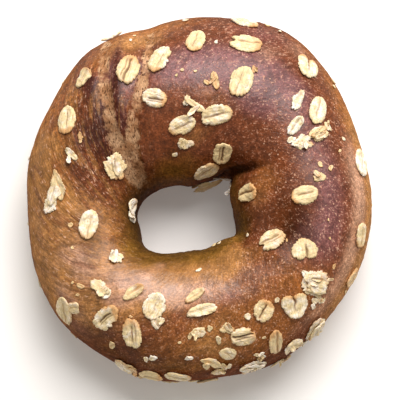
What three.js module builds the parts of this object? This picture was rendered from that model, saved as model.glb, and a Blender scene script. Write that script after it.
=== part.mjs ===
// An oat-topped twisted bagel, lying on its flat base. Millimetres, +Z up, +Y towards the thick side of the ring.
// The bread is one baked piece. Every large rolled-oat flake stuck to its crust is a piece of its own.
import * as THREE from "three";

const { degToRad, euclideanModulo, lerp } = THREE.MathUtils;

// ---- Driving dimensions: the bread ---------------------------------------------------------------------------

// Stations every 20 degrees, anticlockwise from +X, measured from the hole's axis.
// Each row: reach of the hole's wall, reach of the outside, and height.
const RING_STATIONS = [
  [15.5, 59.5, 39], // 0 degrees
  [15.4, 60.2, 39],
  [17.4, 63.6, 40],
  [12.8, 67.8, 42],
  [10.2, 65.0, 42],
  [10.6, 62.4, 41],
  [11.2, 61.4, 40],
  [12.6, 56.0, 38],
  [14.4, 52.6, 36],
  [15.4, 50.0, 34], // 180 degrees
  [15.2, 50.6, 34],
  [16.8, 51.8, 35],
  [15.2, 51.8, 36],
  [13.0, 53.6, 36],
  [12.4, 53.0, 36],
  [13.4, 55.4, 37],
  [14.2, 56.2, 38],
  [16.2, 57.8, 38],
];
const WIDEST_AT = 0.46; // height of the tube's widest line, as a share of its height
const BASE_SINK = 1.3; // the tube's lower half is this much deeper than the room under it, so it bakes flat
const BASE_ROUNDING = 1.6; // how softly the flat base turns up into the wall

const RING_STEPS = 96;
const TUBE_STEPS = 40;

// Where the rope of dough folds over itself and where its twist shows. Every line point is
// [ring angle, tube angle, depth]: degrees round the ring, degrees round the tube from its crest, positive
// towards the outside, and millimetres. shoulder is how far the anticlockwise side swells over the crease.
const CREASES = [
  {
    name: "rope end lapped over the ring",
    line: [[46, -112, 1.2], [44, -88, 3], [34, -63, 2.6], [28, -44, 1.6], [22, -25, 0.8], [17, -5, 0]],
    halfWidth: 2.8,
    shoulder: 1.3,
    shoulderReach: 9,
  },
  {
    name: "fold beside the lower corner of the hole",
    line: [[336, -100, 0.6], [333, -61, 1.4], [323, -35, 1], [320, -11, 0.6], [322, 10, 0]],
    halfWidth: 3.4,
    shoulder: 0.5,
    shoulderReach: 7,
  },
  {
    name: "left twist band",
    line: [[112, 85, 0], [118, 53, 0.9], [123, 27, 1.2], [129, 11, 1.2], [134, -7, 1.2], [141, -24, 1], [150, -52, 0]],
    halfWidth: 3,
    shoulder: 0,
    shoulderReach: 1,
  },
  {
    name: "right twist band",
    line: [[101, 88, 0.3], [102, 57, 1.5], [104, 25, 1.2], [109, 8, 1.1], [118, -8, 1.1], [130, -26, 1], [149, -64, 0.4]],
    halfWidth: 3,
    shoulder: 0,
    shoulderReach: 1,
  },
];
const CREASE_SAMPLES = 48;

// ---- Driving dimensions: the rolled oats ---------------------------------------------------------------------

const FLAKE_GAP = 0.4; // clear space under a flake
const FLAKE_LIFT = 0.3; // how much further its rim stands off the crust
const FLAKE_THICKNESS = 0.75; // at its middle
const FLAKE_RIM = 0.45; // at its rim
const SHOULDER_RADIUS = 0.62; // where the domed top turns down, as a share of the way to the rim

// Outlines: reach from the middle every 24 degrees, as shares of an ellipse. They start at the end that the
// flake's turn points to and run anticlockwise.
const FLAKE_OUTLINES = {
  whole: [1, 0.98, 1.02, 1, 1, 0.99, 1.01, 1, 1, 1.01, 0.98, 1, 1.02, 1, 0.97],
  split: [0.9, 1.02, 1, 0.97, 1.02, 1, 1.03, 0.94, 0.93, 1.03, 1, 0.98, 1.02, 1, 1.01],
  heart: [0.55, 0.86, 1.08, 1.1, 1.04, 0.96, 0.92, 0.95, 0.95, 0.9, 0.97, 1.06, 1.1, 1.06, 0.84],
  half: [1.02, 1.03, 1.02, 1, 1, 1.02, 1, 1.03, 0.94, 0.62, 0.5, 0.46, 0.5, 0.58, 0.84],
  shard: [1.06, 0.8, 0.84, 1.02, 0.86, 0.8, 0.88, 1.04, 0.96, 0.7, 0.9, 1, 0.78, 0.74, 0.9],
  cluster: [0.96, 0.84, 1.04, 1.06, 0.86, 1, 1.04, 0.84, 0.9, 1.06, 0.94, 0.88, 1.06, 0.96, 0.84],
};

// Each row: kind, ring angle, tube angle, length, width, and turn. The angles say where the flake's middle lies,
// as in CREASES. The turn is anticlockwise, seen from outside, from the direction round the ring.
const FLAKES = [
  // thick far side of the ring
  ["whole", 86, 29, 9, 6, 80],
  ["split", 69, 30, 11, 7, 178],
  ["whole", 72, 56, 9.5, 5.6, 160],
  ["whole", 100, 18, 9.5, 6.5, 47],
  ["split", 113, 18, 10.5, 6.5, 51],
  ["half", 129, 36, 6.5, 6, 172],
  ["split", 106, -9, 8, 5.7, 153],
  ["whole", 64, 0, 10.8, 7, 102],
  ["split", 69, -24, 9.8, 6.7, 10],
  ["whole", 92, -31, 9, 5.8, 16],
  // on the lapped end and the wall of the hole
  ["split", 53, -51, 9, 5.8, 112],
  ["whole", 62, -70, 8.8, 6, 60],
  ["shard", 62, -100, 8, 4.4, 5],
  ["split", 9, -50, 8, 5.6, 91],
  ["whole", 178, -64, 6.5, 4.6, 150],
  // right side
  ["heart", 48, 44, 10, 7.5, 301],
  ["shard", 41, 14, 7, 3.8, 117],
  ["whole", 34, 27, 9.3, 6.2, 138],
  ["whole", 33, 3, 6.8, 4, 110],
  ["cluster", 26, 21, 6.8, 4.6, 98],
  ["shard", 26, 4, 6.4, 4, 92],
  ["whole", 14, 60, 9.6, 6, 167],
  ["whole", 1, -2, 8.3, 5.9, 103],
  ["split", 334, -18, 8.3, 6.4, 166],
  ["heart", 336, 9, 8, 7.2, 221],
  ["whole", 350, 58, 7.8, 6, 12],
  ["half", 337, 69, 6.5, 6.5, 178],
  // left side
  ["whole", 145, 30, 9.3, 6.6, 25],
  ["cluster", 153, -30, 8.7, 7.6, 62],
  ["shard", 173, 21, 10.4, 4.8, 18],
  ["shard", 181, 30, 6, 4.8, 139],
  ["whole", 194, -8, 9.7, 5.7, 160],
  // near side
  ["cluster", 327, 34, 10, 8.2, 301],
  ["heart", 316, 34, 8.8, 8, 58],
  ["split", 305, 21, 7, 5.8, 31],
  ["split", 293, 35, 8, 5.8, 180],
  ["whole", 303, 53, 9.2, 4.6, 71],
  ["half", 308, 73, 6.8, 5.4, 319],
  ["cluster", 317, 75, 10, 6.8, 50],
  ["half", 243, -1, 7, 5.2, 56],
  ["whole", 255, 3, 8.3, 7, 76],
  ["half", 277, -6, 7.4, 3.7, 28],
  ["half", 279, 8, 9.9, 4.8, 7],
  ["split", 237, 32, 9.6, 6.2, 74],
  ["split", 249, 33, 9.8, 5.8, 116],
  ["whole", 222, 57, 9.6, 5.6, 132],
  ["whole", 249, 84, 9.4, 5.6, 108],
  ["whole", 259, 78, 7.2, 5.5, 13],
  ["whole", 268, 74, 8.6, 5.4, 154],
  ["half", 286, 47, 5.2, 6, 169],
  ["cluster", 293, 74, 9, 6, 14],
  // low on the outer walls
  ["whole", 88, 100, 9.4, 6.2, 35],
  ["split", 112, 106, 8.8, 6, 120],
  ["whole", 131, 100, 9, 5.8, 70],
  ["half", 50, 112, 8, 5.6, 15],
  ["whole", 165, 113, 9.2, 6, 140],
  ["split", 203, 114, 8.6, 6, 30],
  ["whole", 3, 113, 8.8, 5.8, 160],
  ["whole", 275, 119, 8.4, 5.4, 170],
];

// ---- The bread's surface -------------------------------------------------------------------------------------

// A closed curve through the stations, at a given column's reach, with the height kept in z.
function stationCurve(column) {
  const points = RING_STATIONS.map((row, i) => {
    const angle = (i / RING_STATIONS.length) * 2 * Math.PI;
    return new THREE.Vector3(row[column] * Math.cos(angle), row[column] * Math.sin(angle), row[2]);
  });
  return new THREE.CatmullRomCurve3(points, true, "catmullrom", 0.5);
}

const holeOutline = stationCurve(0);
const outerOutline = stationCurve(1);

// Zero below the table, unchanged well above it, and a smooth turn between.
function restOnTable(z) {
  if (z <= -BASE_ROUNDING) return 0;
  if (z >= BASE_ROUNDING) return z;
  return (z + BASE_ROUNDING) ** 2 / (4 * BASE_ROUNDING);
}

// The tube before its creases, and the direction out of it. Both angles are in degrees.
function plainTube(ring, tube) {
  const t = euclideanModulo(ring / 360, 1);
  const inner = holeOutline.getPoint(t);
  const outer = outerOutline.getPoint(t);
  const height = outer.z;
  inner.z = outer.z = height * WIDEST_AT;
  const across = outer.clone().sub(inner).divideScalar(2);
  const up = Math.cos(degToRad(tube));
  const rise = up > 0 ? (1 - WIDEST_AT) * height : WIDEST_AT * height * BASE_SINK;
  const out = across.multiplyScalar(Math.sin(degToRad(tube)));
  out.z = rise * up;
  const point = inner.add(outer).divideScalar(2).add(out);
  return { point, outward: out.normalize() };
}

const creases = CREASES.map((crease) => {
  const route = new THREE.CatmullRomCurve3(crease.line.map((row) => new THREE.Vector3(...row)));
  const samples = route.getPoints(CREASE_SAMPLES).map(({ x: ring, y: tube, z: depth }) => ({
    ring,
    depth,
    point: plainTube(ring, tube).point,
  }));
  return { ...crease, samples };
});

// How far the crust stands out at a point of the plain tube, because of one crease.
function creaseRelief(crease, ring, point) {
  let nearest = crease.samples[0];
  let distance = Infinity;
  for (const sample of crease.samples) {
    const d = sample.point.distanceTo(point);
    if (d < distance) [nearest, distance] = [sample, d];
  }
  const valley = nearest.depth * Math.exp(-((distance / crease.halfWidth) ** 2));
  const ahead = euclideanModulo(ring - nearest.ring + 180, 360) > 180;
  if (!ahead || crease.shoulder === 0) return -valley;
  const deepest = Math.max(...crease.line.map((row) => row[2]));
  const swell = (distance / crease.shoulderReach) * Math.exp(1 - distance / crease.shoulderReach);
  return crease.shoulder * (nearest.depth / deepest) * swell - valley;
}

// A point of the crust, with both angles in degrees.
function crustPoint(ring, tube) {
  const { point, outward } = plainTube(ring, tube);
  const relief = creases.reduce((sum, crease) => sum + creaseRelief(crease, ring, point), 0);
  point.addScaledVector(outward, relief);
  point.z = restOnTable(point.z);
  return point;
}

function breadGeometry() {
  const positions = [];
  const indices = [];
  for (let i = 0; i < RING_STEPS; i++) {
    for (let j = 0; j < TUBE_STEPS; j++) {
      positions.push(...crustPoint((i * 360) / RING_STEPS, (j * 360) / TUBE_STEPS).toArray());
      const nextRow = ((i + 1) % RING_STEPS) * TUBE_STEPS;
      const nextColumn = (j + 1) % TUBE_STEPS;
      const here = i * TUBE_STEPS + j;
      indices.push(here, i * TUBE_STEPS + nextColumn, nextRow + j);
      indices.push(i * TUBE_STEPS + nextColumn, nextRow + nextColumn, nextRow + j);
    }
  }
  return indexedGeometry(positions, indices);
}

function indexedGeometry(positions, indices) {
  const geometry = new THREE.BufferGeometry();
  geometry.setAttribute("position", new THREE.Float32BufferAttribute(positions, 3));
  geometry.setIndex(indices);
  geometry.computeVertexNormals();
  return geometry;
}

// ---- The rolled oats -----------------------------------------------------------------------------------------

// How fast the crust runs, in millimetres a degree, along the ring and round the tube, and its normal.
function crustFrame(ring, tube) {
  const step = 1.5; // degrees to each side
  const alongRing = crustPoint(ring + step, tube).sub(crustPoint(ring - step, tube)).divideScalar(2 * step);
  const alongTube = crustPoint(ring, tube + step).sub(crustPoint(ring, tube - step)).divideScalar(2 * step);
  const normal = alongTube.clone().cross(alongRing).normalize();
  return { ringPace: alongRing.length(), tubePace: alongTube.length(), normal };
}

// A flake bent to the crust: an open-ringed fan under it, a rim, and a domed top.
function flakeGeometry(kind, ring, tube, length, width, turn) {
  const outline = FLAKE_OUTLINES[kind];
  const { ringPace, tubePace } = crustFrame(ring, tube);
  const positions = [];

  // along and across are millimetres from the flake's middle; stand is its height over the crust.
  const addVertex = (along, across, stand) => {
    const c = Math.cos(degToRad(turn));
    const s = Math.sin(degToRad(turn));
    const ringHere = ring + (along * c - across * s) / ringPace;
    const tubeHere = tube - (along * s + across * c) / tubePace;
    const { normal } = crustFrame(ringHere, tubeHere);
    positions.push(...crustPoint(ringHere, tubeHere).addScaledVector(normal, stand).toArray());
  };
  const addLoop = (share, stand) => {
    outline.forEach((reach, k) => {
      const angle = (k / outline.length) * 2 * Math.PI;
      const r = share * reach;
      addVertex((r * Math.cos(angle) * length) / 2, (r * Math.sin(angle) * width) / 2, stand);
    });
  };

  const edge = FLAKE_GAP + FLAKE_LIFT;
  const bow = FLAKE_LIFT * SHOULDER_RADIUS ** 2;
  addVertex(0, 0, FLAKE_GAP);
  addLoop(1, edge);
  addLoop(1, edge + FLAKE_RIM);
  addLoop(SHOULDER_RADIUS, FLAKE_GAP + bow + lerp(FLAKE_RIM, FLAKE_THICKNESS, 1 - SHOULDER_RADIUS ** 2));
  addVertex(0, 0, FLAKE_GAP + FLAKE_THICKNESS);

  const count = outline.length;
  const top = 3 * count + 1;
  const indices = [];
  for (let k = 0; k < count; k++) {
    const next = (k + 1) % count;
    const [under, rim, shoulder] = [1, 1 + count, 1 + 2 * count];
    indices.push(0, under + next, under + k);
    for (const [low, high] of [[under, rim], [rim, shoulder]]) {
      indices.push(low + k, low + next, high + next);
      indices.push(low + k, high + next, high + k);
    }
    indices.push(shoulder + k, shoulder + next, top);
  }
  return indexedGeometry(positions, indices);
}

// ---- Assembly ------------------------------------------------------------------------------------------------

const crust = new THREE.MeshStandardMaterial({ color: 0x9a5f36, roughness: 0.45, metalness: 0 });
const rolledOat = new THREE.MeshStandardMaterial({ color: 0xe3cb9b, roughness: 0.8, metalness: 0 });

const bagel = new THREE.Group();
const bread = new THREE.Mesh(breadGeometry(), crust);
bread.name = "bread_ring";
bagel.add(bread);

FLAKES.forEach((row, i) => {
  const flake = new THREE.Mesh(flakeGeometry(...row), rolledOat);
  flake.name = `oat_${row[0]}_${String(i + 1).padStart(2, "0")}`;
  bagel.add(flake);
});

// The origin is the middle of the whole bagel's base.
const box = new THREE.Box3().setFromObject(bagel);
const middle = box.getCenter(new THREE.Vector3());
bagel.position.set(-middle.x, -middle.y, -box.min.z);

export default bagel;
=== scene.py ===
"""The looks of an oat-topped twisted bagel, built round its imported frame.

The bread is one sculpted ring of crust that stands for the frame's bread node. Every rolled-oat flake of the
frame gets a detailed flake in its place, and smaller shards, crumbs and wall flakes are added to the crust.
"""

import logging
import math
import random
from dataclasses import dataclass, replace
from enum import Enum
from typing import Callable, Sequence

import bmesh
import bpy
import numpy as np
from mathutils import Matrix, Vector, noise
from mathutils.bvhtree import BVHTree


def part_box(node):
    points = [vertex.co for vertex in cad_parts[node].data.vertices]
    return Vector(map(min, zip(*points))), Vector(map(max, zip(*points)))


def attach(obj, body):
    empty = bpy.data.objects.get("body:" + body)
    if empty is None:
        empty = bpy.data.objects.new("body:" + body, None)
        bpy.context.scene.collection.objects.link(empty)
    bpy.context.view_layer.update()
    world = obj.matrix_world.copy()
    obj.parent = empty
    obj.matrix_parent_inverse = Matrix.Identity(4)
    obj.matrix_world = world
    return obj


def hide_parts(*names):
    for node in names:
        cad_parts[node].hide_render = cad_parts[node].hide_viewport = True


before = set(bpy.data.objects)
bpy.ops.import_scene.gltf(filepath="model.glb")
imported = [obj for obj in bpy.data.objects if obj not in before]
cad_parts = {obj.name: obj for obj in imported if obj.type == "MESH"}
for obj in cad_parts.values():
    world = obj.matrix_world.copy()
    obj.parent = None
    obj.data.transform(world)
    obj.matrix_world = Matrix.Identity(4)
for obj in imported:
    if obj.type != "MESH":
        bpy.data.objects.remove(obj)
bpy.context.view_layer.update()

LOG = logging.getLogger("bagel")
MM = 0.001
TURN = 2 * math.pi


# ---- Small helpers ----


def linear(hex_colour: str) -> tuple[float, float, float, float]:
    """Turns an sRGB hex colour into linear red, green, blue and alpha.

    Args:
        hex_colour: a colour such as "#A05A2C".

    Returns:
        The four linear channels, with alpha 1.
    """
    channels = [int(hex_colour[i : i + 2], 16) / 255 for i in (1, 3, 5)]
    lit = [c / 12.92 if c <= 0.04045 else ((c + 0.055) / 1.055) ** 2.4 for c in channels]
    return (*lit, 1.0)


def add_node(tree: bpy.types.NodeTree, kind: str, settings: dict | None = None, inputs: dict | None = None):
    """Adds one node to a material, with its settings, values and links.

    Args:
        tree: the material's node tree.
        kind: the node's type name.
        settings: attributes of the node to set.
        inputs: input sockets by name or number. A socket is linked, and anything else is set as its value.

    Returns:
        The new node.
    """
    node = tree.nodes.new(kind)
    for name, value in (settings or {}).items():
        setattr(node, name, value)
    for name, value in (inputs or {}).items():
        if isinstance(value, bpy.types.NodeSocket):
            tree.links.new(value, node.inputs[name])
        else:
            node.inputs[name].default_value = value
    return node


def smooth_step(low: float, high: float, value: np.ndarray) -> np.ndarray:
    """Eases from 0 at low to 1 at high."""
    t = np.clip((value - low) / (high - low), 0.0, 1.0)
    return t * t * (3 - 2 * t)


def bell(value: np.ndarray) -> np.ndarray:
    """Falls softly from 1 at zero, on both sides."""
    return np.exp(-(value**2))


def faded(share: np.ndarray, start: float, end: tuple[float, float]) -> np.ndarray:
    """Fades a line in by a share of its length, and out between two more."""
    return smooth_step(0.0, start, share) * (1 - smooth_step(*end, share))


def degrees_off(angle: np.ndarray, middle: float) -> np.ndarray:
    """Gives how far angles in degrees are from a middle one, from -180 to 180."""
    return (angle - middle + 180) % 360 - 180


def noise_field(points: np.ndarray, grain: float, octaves: int = 1, shift: float = 0.0) -> np.ndarray:
    """Samples smooth noise at many points.

    Args:
        points: an array whose last axis holds x, y and z.
        grain: the size of the noise's largest lumps, in the points' units.
        octaves: how many finer layers are added.
        shift: moves the pattern, so that two fields differ.

    Returns:
        Noise of about -1 to 1, in the shape of points without its last axis.
    """
    flat = points.reshape(-1, 3) / grain + shift
    values = [noise.fractal(Vector(p), 1.0, 2.0, octaves) for p in flat]
    return np.array(values).reshape(points.shape[:-1])


def finish_object(mesh: bpy.types.Mesh, name: str, material: bpy.types.Material) -> bpy.types.Object:
    """Links a finished mesh into the scene as a smooth-shaded object at the origin."""
    piece = bpy.data.objects.new(name, mesh)
    bpy.context.scene.collection.objects.link(piece)
    mesh.shade_smooth()
    mesh.materials.append(material)
    return piece


# ---- Finishes ----


class Palette:
    """One material under construction, with short ways to add its nodes."""

    def __init__(self, name: str) -> None:
        """Starts an empty material.

        Args:
            name: the material's name.
        """
        self.material = bpy.data.materials.new(name)
        self.material.use_nodes = True
        self.tree = self.material.node_tree
        self.tree.nodes.clear()
        self.place = add_node(self.tree, "ShaderNodeTexCoord").outputs["Object"]

    def field(self, name: str) -> bpy.types.NodeSocket:
        """Reads one of the fields that the shaping left on the mesh."""
        return add_node(self.tree, "ShaderNodeAttribute", {"attribute_name": name}).outputs["Fac"]

    def mottle(self, size_mm: float, detail: float) -> bpy.types.NodeSocket:
        """Adds soft blotches of a real size."""
        found = add_node(self.tree, "ShaderNodeTexNoise", inputs={
            "Vector": self.place, "Scale": 1 / (size_mm * MM), "Detail": detail, "Roughness": 0.6})
        return found.outputs["Fac"]

    def maths(self, operation: str, a, b=0.0, clamp: bool = False) -> bpy.types.NodeSocket:
        """Adds one sum on two numbers."""
        settings = {"operation": operation, "use_clamp": clamp}
        return add_node(self.tree, "ShaderNodeMath", settings, {0: a, 1: b}).outputs[0]

    def times(self, *factors) -> bpy.types.NodeSocket:
        """Multiplies numbers together."""
        found = factors[0]
        for factor in factors[1:]:
            found = self.maths("MULTIPLY", found, factor)
        return found

    def total(self, *terms: tuple) -> bpy.types.NodeSocket:
        """Adds up terms, each a tuple of factors."""
        found = self.times(*terms[0])
        for term in terms[1:]:
            found = self.maths("ADD", found, self.times(*term))
        return found

    def cells(self, size_mm: float) -> bpy.types.Node:
        """Adds round cells of a real size, each with its own random colour."""
        return add_node(self.tree, "ShaderNodeTexVoronoi", {"feature": "F1"}, {
            "Vector": self.place, "Scale": 1 / (size_mm * MM), "Randomness": 1.0})

    def raised(self, height: bpy.types.NodeSocket) -> bpy.types.NodeSocket:
        """Turns a height in millimetres into a normal."""
        return add_node(self.tree, "ShaderNodeBump", inputs={
            "Strength": 1.0, "Distance": MM, "Height": height}).outputs["Normal"]

    def blend(self, factor, a, b, mode: str = "MIX") -> bpy.types.NodeSocket:
        """Adds a mix of two colours."""
        found = add_node(self.tree, "ShaderNodeMix", {"data_type": "RGBA", "blend_type": mode},
                         {0: factor, 6: a, 7: b})
        return found.outputs[2]

    def shaded(self, colour, *factors) -> bpy.types.NodeSocket:
        """Makes a colour darker and lighter by grey factors."""
        for factor in factors:
            colour = self.blend(1.0, colour, factor, "MULTIPLY")
        return colour

    def ease(self, value, low: float, high: float, to_low: float = 0.0, to_high: float = 1.0):
        """Adds a smooth change from one number to another, as a value goes from low to high."""
        found = add_node(self.tree, "ShaderNodeMapRange", {"interpolation_type": "SMOOTHSTEP"},
                         {0: value, 1: low, 2: high, 3: to_low, 4: to_high})
        return found.outputs[0]

    def finish(self, inputs: dict) -> bpy.types.Material:
        """Ends the material in one principled surface.

        Args:
            inputs: the surface's values and links.

        Returns:
            The material.
        """
        surface = add_node(self.tree, "ShaderNodeBsdfPrincipled", inputs=inputs)
        add_node(self.tree, "ShaderNodeOutputMaterial", inputs={"Surface": surface.outputs["BSDF"]})
        return self.material


class Winding:
    """Patterns that follow the dough's twist, from the shares of a turn in the UV map "dough"."""

    def __init__(self, paint: Palette, ring_radius: float, tube_radius: float) -> None:
        """Reads the angles.

        Args:
            paint: the material under construction.
            ring_radius: mean radius of the ring, in metres.
            tube_radius: mean radius of the tube, in metres.
        """
        self.paint = paint
        self.ring_radius = ring_radius
        self.tube_radius = tube_radius
        angles = add_node(paint.tree, "ShaderNodeUVMap", {"uv_map": "dough"}).outputs["UV"]
        split = add_node(paint.tree, "ShaderNodeSeparateXYZ", inputs={0: angles})
        self.ring, self.tube = split.outputs[0], split.outputs[1]

    def sheared(self, twist: float, across_mm: float, along_mm: float) -> bpy.types.NodeSocket:
        """Unrolls the crust flat, for patterns that stay clear of its seams.

        Args:
            twist: turns of the ring for each turn of the tube along the grain.
            across_mm: the pattern's size across the grain.
            along_mm: its size along the grain.

        Returns:
            A vector that changes by 1 over those sizes.
        """
        maths = self.paint.maths
        turned = maths("ADD", self.ring, maths("MULTIPLY", self.tube, twist))
        return add_node(self.paint.tree, "ShaderNodeCombineXYZ", inputs={
            0: maths("MULTIPLY", turned, TURN * self.ring_radius / (across_mm * MM)),
            1: maths("MULTIPLY", self.tube, TURN * self.tube_radius / (along_mm * MM))}).outputs[0]

    def round_and_round(self, across_mm: float, along_mm: float, detail: float) -> bpy.types.NodeSocket:
        """Adds noise that winds round the tube once in half a turn of the ring, as the dough's grain does.

        It is noise on the surface of a torus in four dimensions, so that it meets itself everywhere.

        Args:
            across_mm: the noise's size across the grain.
            along_mm: its size along the grain.
            detail: how many finer layers it has.

        Returns:
            The noise, about 0.3 to 0.7.
        """
        maths = self.paint.maths
        ring_angle = maths("MULTIPLY", maths("ADD", maths("MULTIPLY", self.ring, 2.0), self.tube), TURN)
        tube_angle = maths("MULTIPLY", self.tube, TURN)
        across = self.ring_radius / (2 * across_mm * MM)
        along = self.tube_radius / (along_mm * MM)
        vector = add_node(self.paint.tree, "ShaderNodeCombineXYZ", inputs={
            0: maths("MULTIPLY", maths("COSINE", ring_angle), across),
            1: maths("MULTIPLY", maths("SINE", ring_angle), across),
            2: maths("MULTIPLY", maths("COSINE", tube_angle), along)})
        found = add_node(self.paint.tree, "ShaderNodeTexNoise", {"noise_dimensions": "4D"}, {
            "Vector": vector.outputs[0], "W": maths("MULTIPLY", maths("SINE", tube_angle), along),
            "Scale": 1.0, "Detail": detail, "Roughness": 0.6, "Distortion": 0.7})
        return found.outputs["Fac"]


@dataclass(frozen=True)
class BakedCrust:
    """Malted wheat dough, boiled and then baked: a thin, tight, glossy red-brown skin over pale crumb.

    The eye gets a soft sheen like polished leather, mottled from amber and olive gold to plum, with fine
    dashes where the dough was stretched, matte pitted tan bands where the skin tore, and countless tiny pale
    blisters.
    """

    chestnut: str = "#68361B"
    amber: str = "#8F5727"
    honey: str = "#9D6C3A"
    gold: str = "#7E5821"
    mauve: str = "#724846"
    plum: str = "#47221B"
    blush: str = "#B08569"
    shade: str = "#2C1A0C"
    torn: str = "#A07450"
    torn_pale: str = "#C49C76"
    pit: str = "#4A2C1A"
    speck: str = "#DCAF92"
    base_tan: str = "#A97345"
    mottle_mm: float = 9.0
    speck_mm: float = 0.55
    pore_mm: float = 0.62
    streak_mm: float = 1.0
    streak_length_mm: float = 4.0
    dash_mm: float = 0.5
    dash_length_mm: float = 1.5
    swathe_mm: float = 3.0
    swathe_length_mm: float = 9.0
    blotch_mm: float = 4.0
    fine_mm: float = 1.5
    dot_spacing_mm: float = 1.7
    crumb_mm: tuple[float, float] = (0.45, 1.1)

    def material(self, ring_radius: float, tube_radius: float) -> bpy.types.Material:
        """Builds the crust's material.

        Args:
            ring_radius: mean radius of the ring, in metres, which sets how fine the streaks are.
            tube_radius: mean radius of the tube, in metres.

        Returns:
            The material.
        """
        return CrustPaint(self, ring_radius, tube_radius).layered()


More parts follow.
